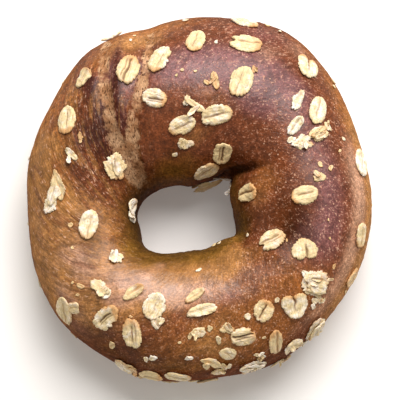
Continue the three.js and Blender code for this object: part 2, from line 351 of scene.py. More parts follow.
class CrustPaint(Palette):
    """The crust's material under construction, one layer over another."""

    def __init__(self, look: BakedCrust, ring_radius: float, tube_radius: float) -> None:
        """Reads the mesh's fields and adds the noises that the layers share.

        Args:
            look: the crust's colours and sizes.
            ring_radius: mean radius of the ring, in metres.
            tube_radius: mean radius of the tube, in metres.
        """
        super().__init__("baked_malt_crust")
        self.look = look
        self.colour = linear(look.chestnut)
        self.on = {name: self.field(name) for name in (
            "amber", "honey", "gold", "mauve", "plum", "blush", "torn", "streaky", "speckled", "shade",
            "base", "glaze")}
        self.winding = Winding(self, ring_radius, tube_radius)
        self.streaks = self.winding.round_and_round(look.streak_mm, look.streak_length_mm, 3.0)
        self.dashes = self.winding.round_and_round(look.dash_mm, look.dash_length_mm, 1.0)
        self.swathes = self.winding.round_and_round(look.swathe_mm, look.swathe_length_mm, 2.0)
        self.broad = self.mottle(look.mottle_mm, 4.0)
        self.blotch = self.mottle(look.blotch_mm, 3.0)
        self.fine = self.mottle(look.fine_mm, 3.0)
        self.grit = self.mottle(look.speck_mm, 1.5)

    def cover(self, factor, tone: str) -> None:
        """Lays one of the crust's colours over those below."""
        self.colour = self.blend(factor, self.colour, linear(getattr(self.look, tone)))

    def layered(self) -> bpy.types.Material:
        """Lays every layer and ends the material."""
        self._skin()
        stretch_relief = self._stretched()
        torn, torn_relief = self._torn_bands()
        blisters = self._blistered()
        self.cover(self.on["shade"], "shade")
        base_share = self.ease(self.broad, 0.3, 0.7, 0.0, 0.5)
        base = self.blend(base_share, linear(self.look.base_tan), linear(self.look.chestnut))
        self.colour = self.blend(self.on["base"], self.colour, base)

        dryness = self.total((torn, 0.28), (self.on["streaky"], 0.06), (self.on["base"], 0.3))
        roughness = self.maths("ADD", self.ease(self.broad, 0.3, 0.7, 0.36, 0.48), dryness, clamp=True)
        sheen = self.ease(self.broad, 0.3, 0.7, 0.76, 0.44)
        glaze = self.maths("MULTIPLY", self.on["glaze"], sheen, clamp=True)
        normal = self.raised(self.total(
            (stretch_relief,), (self.fine, 0.14), (self.grit, 0.05), (blisters, 0.06), (torn_relief, torn)))
        return self.finish({
            "Base Color": self.colour, "Roughness": roughness, "Normal": normal,
            "IOR": 1.45, "Specular IOR Level": 0.0,
            "Coat Weight": glaze, "Coat Roughness": 0.33, "Coat Normal": normal,
            "Subsurface Weight": 0.05, "Subsurface Scale": 0.6 * MM, "Subsurface Radius": (1.0, 0.45, 0.2)})

    def _skin(self) -> None:
        """Browns the skin in patches whose soft edges follow the mottling, and gives it its grain."""
        off_broad = self.maths("SUBTRACT", self.broad, 0.5)
        for name, spread in (("amber", 0.7), ("honey", 0.7), ("gold", 0.6), ("mauve", 0.6), ("plum", 0.9),
                             ("blush", 0.5)):
            self.cover(self.ease(self.total((self.on[name],), (off_broad, spread)), 0.12, 0.85), name)
        streaky = self.on["streaky"]
        self.cover(self.times(streaky, self.ease(self.swathes, 0.50, 0.62, 0.0, 0.55)), "honey")
        self.cover(self.times(streaky, self.ease(self.swathes, 0.36, 0.48, 0.60, 0.0)), "chestnut")
        self.colour = self.shaded(self.colour, self.ease(self.blotch, 0.30, 0.70, 0.79, 1.22))
        # pale stretched skin is smoother, so its finer grain is fainter
        paler = self.maths("MAXIMUM", self.on["honey"], self.on["blush"])
        pale = self.total((paler,), (self.on["speckled"], -0.8))
        for grain, span, least in ((self.fine, (0.32, 0.70, 0.79, 1.24), 0.6),
                                   (self.grit, (0.25, 0.75, 0.66, 1.38), 0.45)):
            amount = self.ease(pale, 0.2, 1.0, 1.0, least)
            self.colour = self.blend(amount, self.colour, self.ease(grain, *span), "MULTIPLY")

    def _stretched(self) -> bpy.types.NodeSocket:
        """Adds the stretched dough's streaks, pale dashes and dark gaps, and gives their height in mm."""
        streaky = self.on["streaky"]
        amount = self.maths("ADD", self.times(streaky, 0.5), 0.5, clamp=True)
        shade = self.ease(self.streaks, 0.36, 0.64, 0.80, 1.22)
        self.colour = self.blend(amount, self.colour, self.shaded(self.colour, shade))
        where = self.maths("MAXIMUM", streaky, self.times(self.on["speckled"], 0.5))
        dash = self.times(self.ease(self.dashes, 0.57, 0.67), self.ease(self.fine, 0.44, 0.62), where)
        self.cover(self.times(dash, 0.85), "speck")
        self.cover(self.times(self.ease(self.dashes, 0.44, 0.34), streaky, 0.4), "shade")
        return self.total((self.streaks, amount, 0.14), (dash, 0.05))

    def _torn_bands(self) -> tuple[bpy.types.NodeSocket, bpy.types.NodeSocket]:
        """Adds the matte, pitted bands where the skin tore, with ragged edges.

        Returns:
            How torn each place is, and the bands' height in millimetres.
        """
        pore = self.look.pore_mm
        pits = add_node(self.tree, "ShaderNodeTexVoronoi", {"feature": "F1"}, {
            "Vector": self.winding.sheared(0.3, pore, 1.5 * pore), "Scale": 1.0, "Randomness": 1.0})
        depth = self.total((pits.outputs["Color"], 0.62), (pits.outputs["Distance"], -1.0), (-0.12,))
        pit = self.ease(depth, -0.06, 0.06)
        crumb = add_node(self.tree, "ShaderNodeTexNoise", inputs={
            "Vector": self.winding.sheared(0.3, *self.look.crumb_mm), "Scale": 1.0, "Detail": 3.0,
            "Roughness": 0.65}).outputs["Fac"]
        off_fine, off_blotch = (self.maths("SUBTRACT", grain, 0.5) for grain in (self.fine, self.blotch))
        ragged = self.total((self.on["torn"],), (off_fine, 1.25), (off_blotch, 0.5))
        torn = self.times(self.ease(ragged, 0.20, 0.70), self.ease(self.on["torn"], 0.02, 0.3))
        tan_share = self.ease(self.blotch, 0.38, 0.62)
        bare = self.blend(tan_share, linear(self.look.torn), linear(self.look.torn_pale))
        bare = self.shaded(bare, self.ease(crumb, 0.30, 0.68, 0.58, 1.30))
        bare = self.blend(self.times(pit, 0.8), bare, linear(self.look.pit))
        self.colour = self.blend(self.times(torn, 0.85), self.colour, bare)
        return torn, self.total((crumb, 0.16), (pit, -0.22))

    def _blistered(self) -> bpy.types.NodeSocket:
        """Adds a scatter of tiny pale blisters and some round dots, and gives how blistered a place is."""
        scatter = self.times(
            self.ease(self.grit, 0.585, 0.67), self.ease(self.fine, 0.43, 0.60), self.on["speckled"])
        dots = self.cells(self.look.dot_spacing_mm)
        size = dots.outputs["Color"]
        depth = self.total((size, 0.19), (dots.outputs["Distance"], -1.0))
        inside = self.maths("GREATER_THAN", depth, -0.02)
        chosen = self.maths("GREATER_THAN", size, 0.4)
        dot = self.times(inside, chosen, self.total((self.on["speckled"], 0.8), (0.2,)))
        blisters = self.maths("MAXIMUM", scatter, dot)
        self.cover(self.times(blisters, 0.56), "speck")
        return blisters


@dataclass(frozen=True)
class RolledOat:
    """Oat groats, steamed and rolled flat: matte, floury flakes, cream with toasted tips and rims.

    The eye gets a dry, faintly translucent flake with a brown crease down its middle, fine lengthwise fibres
    and patches of white flour.
    """

    cream: str = "#E0C998"
    flour: str = "#F4EDE2"
    toasted: str = "#CD9E68"
    bran: str = "#5E3C20"
    fibre_mm: float = 0.42
    fibre_length_mm: float = 3.6
    blotch_mm: float = 2.0
    grit_mm: float = 0.5
    speck_spacing_mm: float = 1.5

    def material(self) -> bpy.types.Material:
        """Builds the oats' material, which reads each flake's own lay and fields."""
        paint = Palette("rolled_oat_flake")
        maths, blend, ease, times = paint.maths, paint.blend, paint.ease, paint.times
        toast, crease, tone = (paint.field(name) for name in ("toast", "crease", "tone"))
        lay = add_node(paint.tree, "ShaderNodeUVMap", {"uv_map": "lay"}).outputs["UV"]
        stretched = add_node(paint.tree, "ShaderNodeMapping", {"vector_type": "POINT"}, {
            "Vector": lay, "Scale": (1 / self.fibre_length_mm, 1 / self.fibre_mm, 1.0)})
        fibre = add_node(paint.tree, "ShaderNodeTexNoise", inputs={
            "Vector": stretched.outputs[0], "Scale": 1.0, "Detail": 3.0, "Roughness": 0.6}).outputs["Fac"]
        blotch = paint.mottle(self.blotch_mm, 3.0)
        grit = paint.mottle(self.grit_mm, 2.0)

        floury = ease(paint.total((tone, 0.25), (blotch,)), 0.50, 0.92)
        colour = blend(floury, linear(self.cream), linear(self.flour))
        # toast also carries the painted shade along each flake's crease
        warm = paint.total((toast,), (maths("SUBTRACT", blotch, 0.55), 1.2))
        colour = blend(ease(warm, 0.05, 0.95), colour, linear(self.toasted))
        grains = ease(fibre, 0.34, 0.62, 0.78, 1.05), ease(grit, 0.28, 0.60, 0.91, 1.03)
        colour = paint.shaded(colour, *grains)
        cells = paint.cells(self.speck_spacing_mm)
        speck = times(maths("LESS_THAN", cells.outputs["Distance"], 0.10),
                      maths("GREATER_THAN", cells.outputs["Color"], 0.62))
        dark = maths("MAXIMUM", times(crease, 0.9), times(speck, 0.7))
        colour = blend(dark, colour, linear(self.bran))

        normal = paint.raised(paint.total((fibre, 0.14), (blotch, 0.20), (grit, 0.03)))
        return paint.finish({
            "Base Color": colour, "Roughness": 0.62, "Normal": normal, "IOR": 1.46,
            "Subsurface Weight": 0.12, "Subsurface Scale": 0.5 * MM, "Subsurface Radius": (1.0, 0.7, 0.4)})


@dataclass(frozen=True)
class PaleTable:
    """A white acrylic light table: plain, satin, with the faintest glow that opens up the shadows."""

    white: str = "#E8E7E4"
    glow: float = 0.15

    def material(self) -> bpy.types.Material:
        """Builds the table's material."""
        return Palette("white_acrylic").finish({
            "Base Color": linear(self.white), "Roughness": 0.7,
            "Emission Color": linear(self.white), "Emission Strength": self.glow})


# ---- Studio ----


@dataclass
class Studio:
    """The camera, the soft lights and the pale floor."""

    elevation: float = 76.0
    distance: float = 0.55
    lens: float = 155.7
    sensor: float = 36.0
    aim: tuple[float, float, float] = (0.0003, -0.0011, 0.018)
    floor_size: float = 3.0
    surround: str = "#FFF8EE"
    surround_strength: float = 0.40
    softbox_place: tuple[float, float, float] = (0.12, 0.36, 0.61)
    softbox_size: float = 0.60
    softbox_power: float = 8.9
    softbox_colour: str = "#FDF9F8"

    def build(self) -> None:
        """Makes the camera first, then the lights and the floor."""
        self._camera()
        self._world()
        self._softbox()
        self._floor()

    def _camera(self) -> None:
        """Looks down on the lying bagel from its near side."""
        data = bpy.data.cameras.new("camera")
        data.lens = self.lens
        data.sensor_width = self.sensor
        data.clip_start = 0.01
        camera = bpy.data.objects.new("camera", data)
        bpy.context.scene.collection.objects.link(camera)
        lift = math.radians(self.elevation)
        back = Vector((0.0, -math.cos(lift), math.sin(lift)))
        camera.location = Vector(self.aim) + back * self.distance
        camera.rotation_mode = "QUATERNION"
        camera.rotation_quaternion = (-back).to_track_quat("-Z", "Y")
        bpy.context.scene.camera = camera

    def _world(self) -> None:
        """Lights the scene evenly from all round."""
        world = bpy.data.worlds.new("studio")
        bpy.context.scene.world = world
        world.use_nodes = True
        background = world.node_tree.nodes["Background"]
        background.inputs["Color"].default_value = linear(self.surround)
        background.inputs["Strength"].default_value = self.surround_strength
        bpy.context.scene.view_settings.view_transform = "Standard"

    def _softbox(self) -> None:
        """Adds one square area light that faces the bagel's middle."""
        data = bpy.data.lights.new("overhead_softbox", "AREA")
        data.size = self.softbox_size
        data.energy = self.softbox_power
        data.color = linear(self.softbox_colour)[:3]
        light = bpy.data.objects.new("overhead_softbox", data)
        bpy.context.scene.collection.objects.link(light)
        light.location = self.softbox_place
        light.rotation_mode = "QUATERNION"
        toward = Vector((0, 0, 0.02)) - Vector(self.softbox_place)
        light.rotation_quaternion = toward.to_track_quat("-Z", "Y")

    def _floor(self) -> None:
        """Lays the table top under the bagel."""
        mesh = bmesh.new()
        bmesh.ops.create_grid(mesh, x_segments=1, y_segments=1, size=self.floor_size / 2)
        data = bpy.data.meshes.new("table_top")
        mesh.to_mesh(data)
        mesh.free()
        finish_object(data, "table_top", PaleTable().material())


# ---- The bread ----


@dataclass(frozen=True)
class Patch:
    """A soft area of the crust, painted at a ring and a tube angle, with its reach each way, in degrees."""

    ring: float
    tube: float
    ring_reach: float
    tube_reach: float
    amount: float = 1.0


def patches(*rows: tuple[float, ...]) -> tuple[Patch, ...]:
    """Turns rows of ring angle, tube angle, ring reach, tube reach and amount into patches."""
    return tuple(Patch(*row) for row in rows)


@dataclass(frozen=True)
class Route:
    """A line over the crust, through [ring angle, tube angle] points in degrees, and its width in metres."""

    points: tuple[tuple[float, float], ...]
    half_width: float
    depth: float
    steps: int = 14

    def walk(self) -> np.ndarray:
        """Finds the line's points as a smooth curve through its corners.

        Returns:
            Rows of ring angle, tube angle and the share of the way along.
        """
        corners = np.array([self.points[0], *self.points, self.points[-1]], float)
        rows = []
        spans = len(self.points) - 1
        for k in range(spans):
            before, start, end, after = corners[k : k + 4]
            for t in np.linspace(0, 1, self.steps, endpoint=k == spans - 1):
                place = 0.5 * (2 * start + (end - before) * t
                               + (2 * before - 5 * start + 4 * end - after) * t**2
                               + (3 * start - before - 3 * end + after) * t**3)
                rows.append((*place, (k + t) / spans))
        return np.array(rows)


CRUST_PATCHES: dict[str, tuple[Patch, ...]] = {
    "amber": patches(
        (205, 0, 34, 80, 0.6), (160, 62, 22, 34, 0.8), (140, 75, 18, 22, 0.7), (98, 62, 14, 22, 0.8),
        (80, -5, 8, 8, 0.3), (8, 88, 28, 22, 1.0), (14, -34, 14, 20, 0.6), (285, 40, 28, 30, 0.9),
        (325, 30, 16, 40, 0.4), (300, -20, 26, 40, 0.5), (112, 45, 8, 30, 0.5), (121, 42, 7, 12, 0.5),
        (34, 68, 22, 24, 0.9), (356, 66, 18, 16, 0.5), (160, -50, 16, 16, 0.4)),
    "honey": patches(
        (198, 40, 20, 40, 0.8), (190, -20, 16, 34, 0.6), (183, 20, 12, 12, 0.7), (224, 12, 22, 40, 0.9),
        (245, -20, 24, 34, 0.9), (275, -38, 32, 24, 0.9), (304, -36, 20, 22, 0.8), (220, 60, 14, 24, 0.5),
        (4, 84, 26, 26, 1.0), (283, 22, 12, 18, 0.4), (80, -40, 14, 12, 0.4), (107, 46, 12, 14, 0.7),
        (164, 46, 16, 34, 0.8), (192, 58, 24, 26, 0.5), (282, 42, 12, 12, 0.6), (332, 74, 16, 22, 0.7),
        (4, -42, 16, 14, 0.4), (20, 66, 14, 12, 0.4)),
    "gold": patches(
        (250, -66, 50, 24, 0.9), (300, -66, 35, 24, 0.9), (335, -60, 25, 18, 0.4),
        (15, -74, 34, 24, 0.45), (105, -72, 50, 24, 0.6), (190, -62, 35, 20, 0.5),
        (228, -40, 20, 16, 0.6), (72, -12, 9, 12, 0.3), (270, 62, 30, 14, 0.4)),
    "mauve": patches(
        (48, 14, 26, 18, 0.70), (84, 12, 26, 17, 0.95), (6, 18, 18, 18, 0.60), (343, 20, 14, 20, 0.6),
        (118, 24, 8, 24, 0.6), (52, -10, 14, 12, 0.5), (66, 48, 14, 14, 0.5), (228, 62, 10, 16, 0.5),
        (294, -2, 10, 10, 0.45)),
    "plum": patches(
        (53, 4, 10, 12, 0.40), (12, 4, 14, 20, 0.35), (340, 0, 14, 20, 0.5), (315, -10, 10, 12, 0.35),
        (127, 2, 5, 26, 0.8), (146, -6, 8, 28, 0.8), (150, -35, 10, 18, 0.5), (139, -12, 4, 10, 0.5),
        (55, -32, 14, 14, 0.3), (353, -4, 10, 12, 0.3)),
    "blush": patches(
        (228, -2, 8, 20, 0.5), (243, -8, 10, 16, 0.5), (264, -10, 12, 13, 0.8), (285, -12, 13, 14, 0.6),
        (61, 30, 5, 12, 0.4), (54, 50, 5, 14, 0.4), (13, 42, 8, 14, 0.3), (192, 22, 12, 14, 0.3),
        (205, 30, 5, 20, 0.4), (221, 45, 9, 11, 0.9), (212, 12, 10, 13, 0.85), (250, -38, 7, 9, 0.5),
        (244, -21, 7, 11, 0.4), (240, -2, 6, 11, 0.6), (236, 14, 6, 9, 0.6), (346, 51, 20, 12, 0.55),
        (322, 57, 16, 12, 0.40), (8, 51, 18, 10, 0.45), (262, -4, 10, 8, 0.4), (80, -9, 7, 7, 0.35)),
    # painted shade: darkest on the walls inside the hole and on parts of the outer walls, with smaller
    # darker patches over the top
    "dark_and_painted_shade": patches(
        (180, -78, 38, 26, 0.8), (235, -68, 36, 28, 0.6), (295, -72, 40, 26, 0.6),
        (345, -60, 14, 34, 0.45), (48, -82, 18, 18, 0.1), (140, -80, 22, 16, 0.2), (243, 72, 16, 22, 0.4),
        (262, 50, 12, 14, 0.25), (300, 84, 20, 14, 0.3), (70, 86, 36, 26, 0.45), (352, -10, 16, 16, 0.40),
        (150, 4, 14, 22, 0.38), (200, -6, 13, 16, 0.55), (146, -38, 12, 18, 0.30),
        (181, -58, 22, 16, 0.3), (300, 22, 12, 10, 0.2), (136, -4, 6, 20, 0.30), (232, -30, 16, 16, 0.15),
        (126, -26, 12, 14, 0.15), (52, 38, 16, 12, 0.12), (341, -8, 10, 9, 0.25)),
    "gloss": patches(
        (293, -3, 11, 12, 0.9), (262, -14, 9, 9, 0.7), (248, -20, 8, 9, 0.8), (238, -2, 8, 10, 0.6),
        (222, 30, 8, 12, 0.5), (88, 10, 12, 10, 0.35)),
    "dull": patches(
        (352, -14, 22, 16, 0.85), (358, 6, 14, 12, 0.55), (22, -12, 14, 12, 0.5), (152, -8, 18, 26, 0.7),
        (200, -8, 14, 18, 0.7), (180, -10, 10, 14, 0.5), (320, -14, 14, 14, 0.4), (55, 42, 22, 14, 0.5),
        (85, 55, 20, 14, 0.4), (64, 22, 28, 10, 0.35), (342, -10, 12, 12, 0.4)),
    "streak": patches(
        (158, 0, 26, 80, 1.0), (195, 10, 30, 80, 0.75), (132, 20, 16, 60, 0.6), (250, 0, 40, 60, 0.3),
        (222, 20, 16, 50, 0.35), (318, -5, 14, 30, 0.5)),
    "speckle": patches(
        (20, 10, 50, 60, 1.0), (75, 30, 35, 50, 0.8), (335, 10, 40, 50, 0.9), (290, 30, 35, 50, 0.7),
        (240, 40, 40, 40, 0.4), (350, 60, 30, 22, 0.6)),
}


@dataclass
class BreadRing:
    """The baked ring: a clean grid of faces laid over the frame's bread node, then sculpted and painted."""

    axis: tuple[float, float] = (-0.0046, -0.0054)
    core_height: float = 0.0165
    ring_steps: int = 420
    tube_steps: int = 224
    softening: float = 1.3 * MM
    seed: int = 11
    blister_count: int = 260
    blister_steps: int = 6

    lap: Route = Route(((50, -118), (44, -88), (35, -64), (28, -44), (22, -25), (17, -5)),
                       1.0 * MM, 1.9 * MM)
    corner_fold: Route = Route(((338, -110), (333, -61), (323, -35), (320, -11)), 1.6 * MM, 0.6 * MM)
    torn_bands: tuple[Route, ...] = (
        Route(((113, 78), (117, 51), (122, 29), (128, 10), (135, -7), (141, -21), (149, -46), (155, -68)),
              2.1 * MM, 0.40 * MM),
        Route(((99, 70), (102, 42), (105, 20), (111, 4), (117, -9), (127, -22), (136, -35), (149, -60),
               (153, -76)), 1.8 * MM, 0.40 * MM))
    ridges: tuple[Route, ...] = (
        Route(((108, 68), (114, 38), (118, 20), (122, 8), (128, -6), (137, -23)), 1.8 * MM, 0.60 * MM),
        Route(((122, 60), (128, 35), (134, 12), (140, -6), (149, -28)), 2.6 * MM, 0.60 * MM))
    wrinkles: tuple[Route, ...] = (
        Route(((189, 38), (192, 20), (192, 5), (191, -22)), 0.6 * MM, 0.32 * MM),
        Route(((194, 30), (197, 12), (196, -8)), 0.5 * MM, 0.22 * MM),
        Route(((199, 34), (203, 8), (208, -20)), 0.6 * MM, 0.26 * MM),
        Route(((198, 84), (204, 58), (210, 38)), 0.9 * MM, 0.30 * MM))

    def build(self) -> bpy.types.Object:
        """Builds the whole ring.

        Returns:
            The crust's object, which rides on the root body and stands for the bread node.
        """
        self._cast()
        self.painted = {name: self._painted(rows) for name, rows in CRUST_PATCHES.items()}
        self._sculpt()
        self._settle()
        self._paint()
        mesh = self._mesh()
        finish = BakedCrust().material(self._ring_radius(), self._tube_radius())
        piece = finish_object(mesh, "bread_crust", finish)
        points = [tuple(point) for point in self.grid.reshape(-1, 3)]
        self.surface = BVHTree.FromPolygons(points, self._quads().tolist())
        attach(piece, "root")
        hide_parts("bread_ring")
        return piece

    # -- laying the grid over the frame's node --

    def _cast(self) -> None:
        """Finds where rays from the tube's core line meet the frame's bread, and evens out its facets."""
        guide = bmesh.new()
        guide.from_mesh(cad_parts["bread_ring"].data)
        bmesh.ops.remove_doubles(guide, verts=guide.verts, dist=MM / 100)
        tree = BVHTree.FromBMesh(guide)
        guide.free()
        low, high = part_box("bread_ring")
        far = (high - low).length
        self.ring_angles = np.arange(self.ring_steps) * TURN / self.ring_steps
        self.tube_angles = np.arange(self.tube_steps) * TURN / self.tube_steps
        axis = Vector((*self.axis, self.core_height))
        up = Vector((0, 0, 1))
        cores = []
        reaches = np.empty((self.ring_steps, self.tube_steps))
        for i, ring in enumerate(self.ring_angles):
            outward = Vector((math.cos(ring), math.sin(ring), 0))
            inner = tree.ray_cast(axis, outward)[0]
            outer = tree.ray_cast(axis + outward * far, -outward)[0]
            core = (inner + outer) / 2
            cores.append(core)
            for j, tube in enumerate(self.tube_angles):
                direction = outward * math.sin(tube) + up * math.cos(tube)
                reaches[i, j] = (tree.ray_cast(core, direction)[0] - core).length
        self.cores = np.array(cores)
        reaches = self._soften(reaches)
        outwards = np.zeros((self.ring_steps, 3))
        outwards[:, 0], outwards[:, 1] = np.cos(self.ring_angles), np.sin(self.ring_angles)
        sines, cosines = np.sin(self.tube_angles), np.cos(self.tube_angles)
        self.grid = (self.cores[:, None]
                     + outwards[:, None] * (reaches * sines)[..., None]
                     + np.array(up) * (reaches * cosines)[..., None])

    def _soften(self, values: np.ndarray) -> np.ndarray:
        """Blurs a field on the ring by the softening length, round and round both ways."""
        ring_step = TURN * self._ring_radius() / self.ring_steps
        tube_step = TURN * float(values.mean()) / self.tube_steps
        for axis, step in ((0, ring_step), (1, tube_step)):
            width = self.softening / step
            reach = int(3 * width) + 1
            weights = np.exp(-0.5 * (np.arange(-reach, reach + 1) / width) ** 2)
            weights /= weights.sum()
            values = sum(w * np.roll(values, k - reach, axis) for k, w in enumerate(weights))
        return values

    def _ring_radius(self) -> float:
        """Gives the mean radius of the ring, in metres."""
        return float(np.linalg.norm(self.cores[:, :2] - np.array(self.axis), axis=1).mean())

    def _tube_radius(self) -> float:
        """Gives the mean radius of the tube, in metres."""
        return float(np.linalg.norm(self.grid - self.cores[:, None], axis=2).mean())

    def _normals(self) -> np.ndarray:
        """Works out the crust's outward directions at every grid point."""
        along_ring = np.roll(self.grid, -1, 0) - np.roll(self.grid, 1, 0)
        along_tube = np.roll(self.grid, -1, 1) - np.roll(self.grid, 1, 1)
        normal = np.cross(along_tube, along_ring)
        return normal / np.linalg.norm(normal, axis=2, keepdims=True)

    def _cell(self, ring: float, tube: float) -> tuple[int, int]:
        """Finds the grid point nearest to a ring angle and a tube angle in degrees."""
        return (round(ring / 360 * self.ring_steps) % self.ring_steps,
                round(tube / 360 * self.tube_steps) % self.tube_steps)

    def at(self, ring: float, tube: float) -> tuple[Vector, Vector, Vector]:
        """Looks up a place on the crust.

        Args:
            ring: the ring angle in degrees.
            tube: the tube angle in degrees, 0 on the crest and positive towards the outside.

        Returns:
            The point, the outward direction there and the direction that the ring runs in.
        """
        i, j = self._cell(ring, tube)
        ahead = Vector(self.grid[(i + 1) % self.ring_steps, j] - self.grid[i - 1, j]).normalized()
        return Vector(self.grid[i, j]), Vector(self.normals[i, j]), ahead

    # -- sculpting --

    def _near(self, route: Route) -> tuple[np.ndarray, np.ndarray]:
        """Measures how far every grid point is from a route.

        Args:
            route: the line over the crust.

        Returns:
            The distances in metres, and how far along the route the nearest point is, from 0 to 1.
        """
        distance = np.full(self.grid.shape[:2], np.inf)
        share = np.zeros(self.grid.shape[:2])
        for ring, tube, along in route.walk():
            here = np.linalg.norm(self.grid - self.grid[self._cell(ring, tube)], axis=2)
            closer = here < distance
            distance[closer] = here[closer]
            share[closer] = along
        return distance, share

    def _sculpt(self) -> None:
        """Moves the grid out and in: lumps, creases, torn bands, ridges, streaks and blisters."""
        normals = self._normals()
        self.wobble = noise_field(self.grid, 3.2 * MM, 2, 9.0)
        relief = 0.35 * MM * noise_field(self.grid, 24 * MM, 2)
        relief += 0.10 * MM * noise_field(self.grid, 7 * MM, 2, 5.0)
        relief += self._creased() + self._torn_and_ridged()
        wall = 1 - smooth_step(0.1, 0.5, normals[..., 2])
        wrinkled = -np.abs(noise_field(self.grid * [1, 1, 0.35], 2.6 * MM, 2, 33.0))
        relief += 0.14 * MM * wall * wrinkled
        relief += 0.12 * MM * self.painted["streak"] * self._winding_noise(13.0, 2.6)
        relief += self._blisters()
        self.grid = self.grid + normals * relief[..., None]

    def _creased(self) -> np.ndarray:
        """Presses in the lap, the corner fold and the wrinkles, and paints shade into them.

        Returns:
            The change of height in metres at every grid point.
        """
        relief = np.zeros(self.grid.shape[:2])
        self.shade = np.zeros(self.grid.shape[:2])
        for crease, shade_reach in ((self.lap, 1.15), (self.corner_fold, 1.6)):
            distance, share = self._near(crease)
            fade = faded(share, 0.12, (0.45, 0.9))
            relief -= crease.depth * fade * bell(distance / crease.half_width)
            # painted shade along the lap and the corner fold
            dark = 0.64 * fade * bell(distance / (shade_reach * crease.half_width))
            self.shade = np.maximum(self.shade, dark * crease.depth / self.lap.depth)
        for wrinkle in self.wrinkles:
            distance, share = self._near(wrinkle)
            off = distance / wrinkle.half_width
            fade = faded(share, 0.2, (0.8, 1.0)) * (0.75 + 0.5 * self.wobble)
            relief += wrinkle.depth * fade * (0.5 * bell(off - 2.2) - bell(off))
            self.shade = np.maximum(self.shade, 0.45 * fade * bell(off))
        return relief

    def _torn_and_ridged(self) -> np.ndarray:
        """Sinks the torn bands and raises the skin that is left between them.

        Returns:
            The change of height in metres at every grid point.
        """
        relief = np.zeros(self.grid.shape[:2])
        self.torn = np.zeros(self.grid.shape[:2])
        self.crowns = np.zeros(self.grid.shape[:2])
        crumbly = -np.abs(noise_field(self.grid, 1.6 * MM, 2, 15.0))
        patchy = np.clip(0.8 + 0.6 * noise_field(self.grid, 6 * MM, 2, 21.0), 0, 1)
        for band in self.torn_bands:
            distance, share = self._near(band)
            fade = faded(share, 0.12, (0.86, 1.0))
            edge = distance - band.half_width * (0.72 + 0.55 * share) - 0.65 * MM * self.wobble
            inside = fade * (1 - smooth_step(-1.0 * MM, 1.0 * MM, edge))
            self.torn = np.maximum(self.torn, inside * patchy)
            relief -= band.depth * inside * (1 - 0.5 * crumbly)
            relief += 0.10 * MM * fade * bell((edge - 0.7 * MM) / (0.7 * MM))
        for ridge in self.ridges:
            distance, share = self._near(ridge)
            crown = faded(share, 0.25, (0.8, 1.0)) * bell(distance / ridge.half_width)
            relief += ridge.depth * crown
            self.crowns = np.maximum(self.crowns, crown)
        self.torn *= 1 - 0.6 * self.crowns**2
        return relief

    def _winding_noise(self, across: float, along: float) -> np.ndarray:
        """Makes long soft ridges that wind round the tube once in half a turn of the ring.

        Args:
            across: how many ridges fit in half a radian of the ring.
            along: how many times a ridge changes in a radian of the tube.

        Returns:
            Noise of about -1 to 1 at every grid point.
        """
        ring, tube = np.meshgrid(self.ring_angles, self.tube_angles, indexing="ij")
        turned = 2 * ring + tube
        places = np.stack([across * np.cos(turned), across * np.sin(turned), along * np.cos(tube)], 2)
        return noise_field(places, 1.0, 2, 3.0)

    def _blisters(self) -> np.ndarray:
        """Raises small round blisters, thickest on the side away from the twist."""
        draw = random.Random(self.seed)
        relief = np.zeros(self.grid.shape[:2])
        for _ in range(self.blister_count):
            ring = draw.gauss(10, 85)
            tube = draw.uniform(-80, 100)
            radius = draw.uniform(0.7, 1.5) * MM
            height = draw.uniform(0.05, 0.16) * MM
            i, j = self._cell(ring, tube)
            round_about = np.arange(-self.blister_steps, self.blister_steps + 1)
            rows, columns = (i + round_about) % self.ring_steps, (j + round_about) % self.tube_steps
            window = np.ix_(rows, columns)
            distance = np.linalg.norm(self.grid[window] - self.grid[i, j], axis=2)
            relief[window] = np.maximum(relief[window], height * bell(distance / radius))
        return relief

    def _settle(self) -> None:
        """Rests the ring on the table, with a flat base that turns up softly."""
        turn = 0.5 * MM
        height = self.grid[..., 2]
        soft = np.where(height < turn, np.maximum(height + turn, 0) ** 2 / (4 * turn), height)
        under = np.cos(self.tube_angles)[None, :] < 0
        self.grid[..., 2] = np.where(under & (height < turn), soft, height)
        self.normals = self._normals()

    # -- painting --

    def _painted(self, patches: Sequence[Patch]) -> np.ndarray:
        """Adds up soft patches over the crust, from 0 to 1."""
        ring = np.degrees(self.ring_angles)[:, None]
        tube = np.degrees(self.tube_angles)[None, :]
        total = np.zeros((self.ring_steps, self.tube_steps))
        for patch in patches:
            ring_off = degrees_off(ring, patch.ring) / patch.ring_reach
            tube_off = degrees_off(tube, patch.tube) / patch.tube_reach
            total += patch.amount * np.exp(-(ring_off**2 + tube_off**2))
        return np.clip(total, 0, 1)

    def _paint(self) -> None:
        """Works out the fields that the crust's material reads."""
        facing_up, height = self.normals[..., 2], self.grid[..., 2]
        drift = 2.5 * MM * noise_field(self.grid, 14 * MM, 2, 41.0)
        low_down = 1 - smooth_step(5 * MM, 11 * MM, height + drift)
        board_line = low_down * (1 - smooth_step(0.0, 0.5, facing_up))
        painted = self.painted
        glaze = 0.16 + 0.84 * smooth_step(0.40, 0.92, facing_up)
        glaze *= (1 - self.torn) * (1 - 0.5 * self.crowns)
        self.fields = {name: painted[name] for name in ("amber", "gold", "mauve", "blush")} | {
            "honey": np.clip(painted["honey"] + 0.6 * board_line, 0, 1),
            "plum": np.clip(painted["plum"] + 0.75 * self.crowns, 0, 1),
            "torn": self.torn,
            "streaky": painted["streak"] * (1 - 0.8 * self.torn),
            "speckled": painted["speckle"],
            # painted shade: from the creases and wrinkles, and from the painted-shade patches, which also
            # darken a few places on the top
            "shade": np.clip(np.maximum(self.shade, painted["dark_and_painted_shade"]), 0, 0.85),
            "base": smooth_step(0.55, 0.9, -facing_up) * (1 - smooth_step(0.5 * MM, 4 * MM, height)),
            "glaze": glaze * (1 - painted["dull"]) * (1 + painted["gloss"])}

    # -- the mesh --

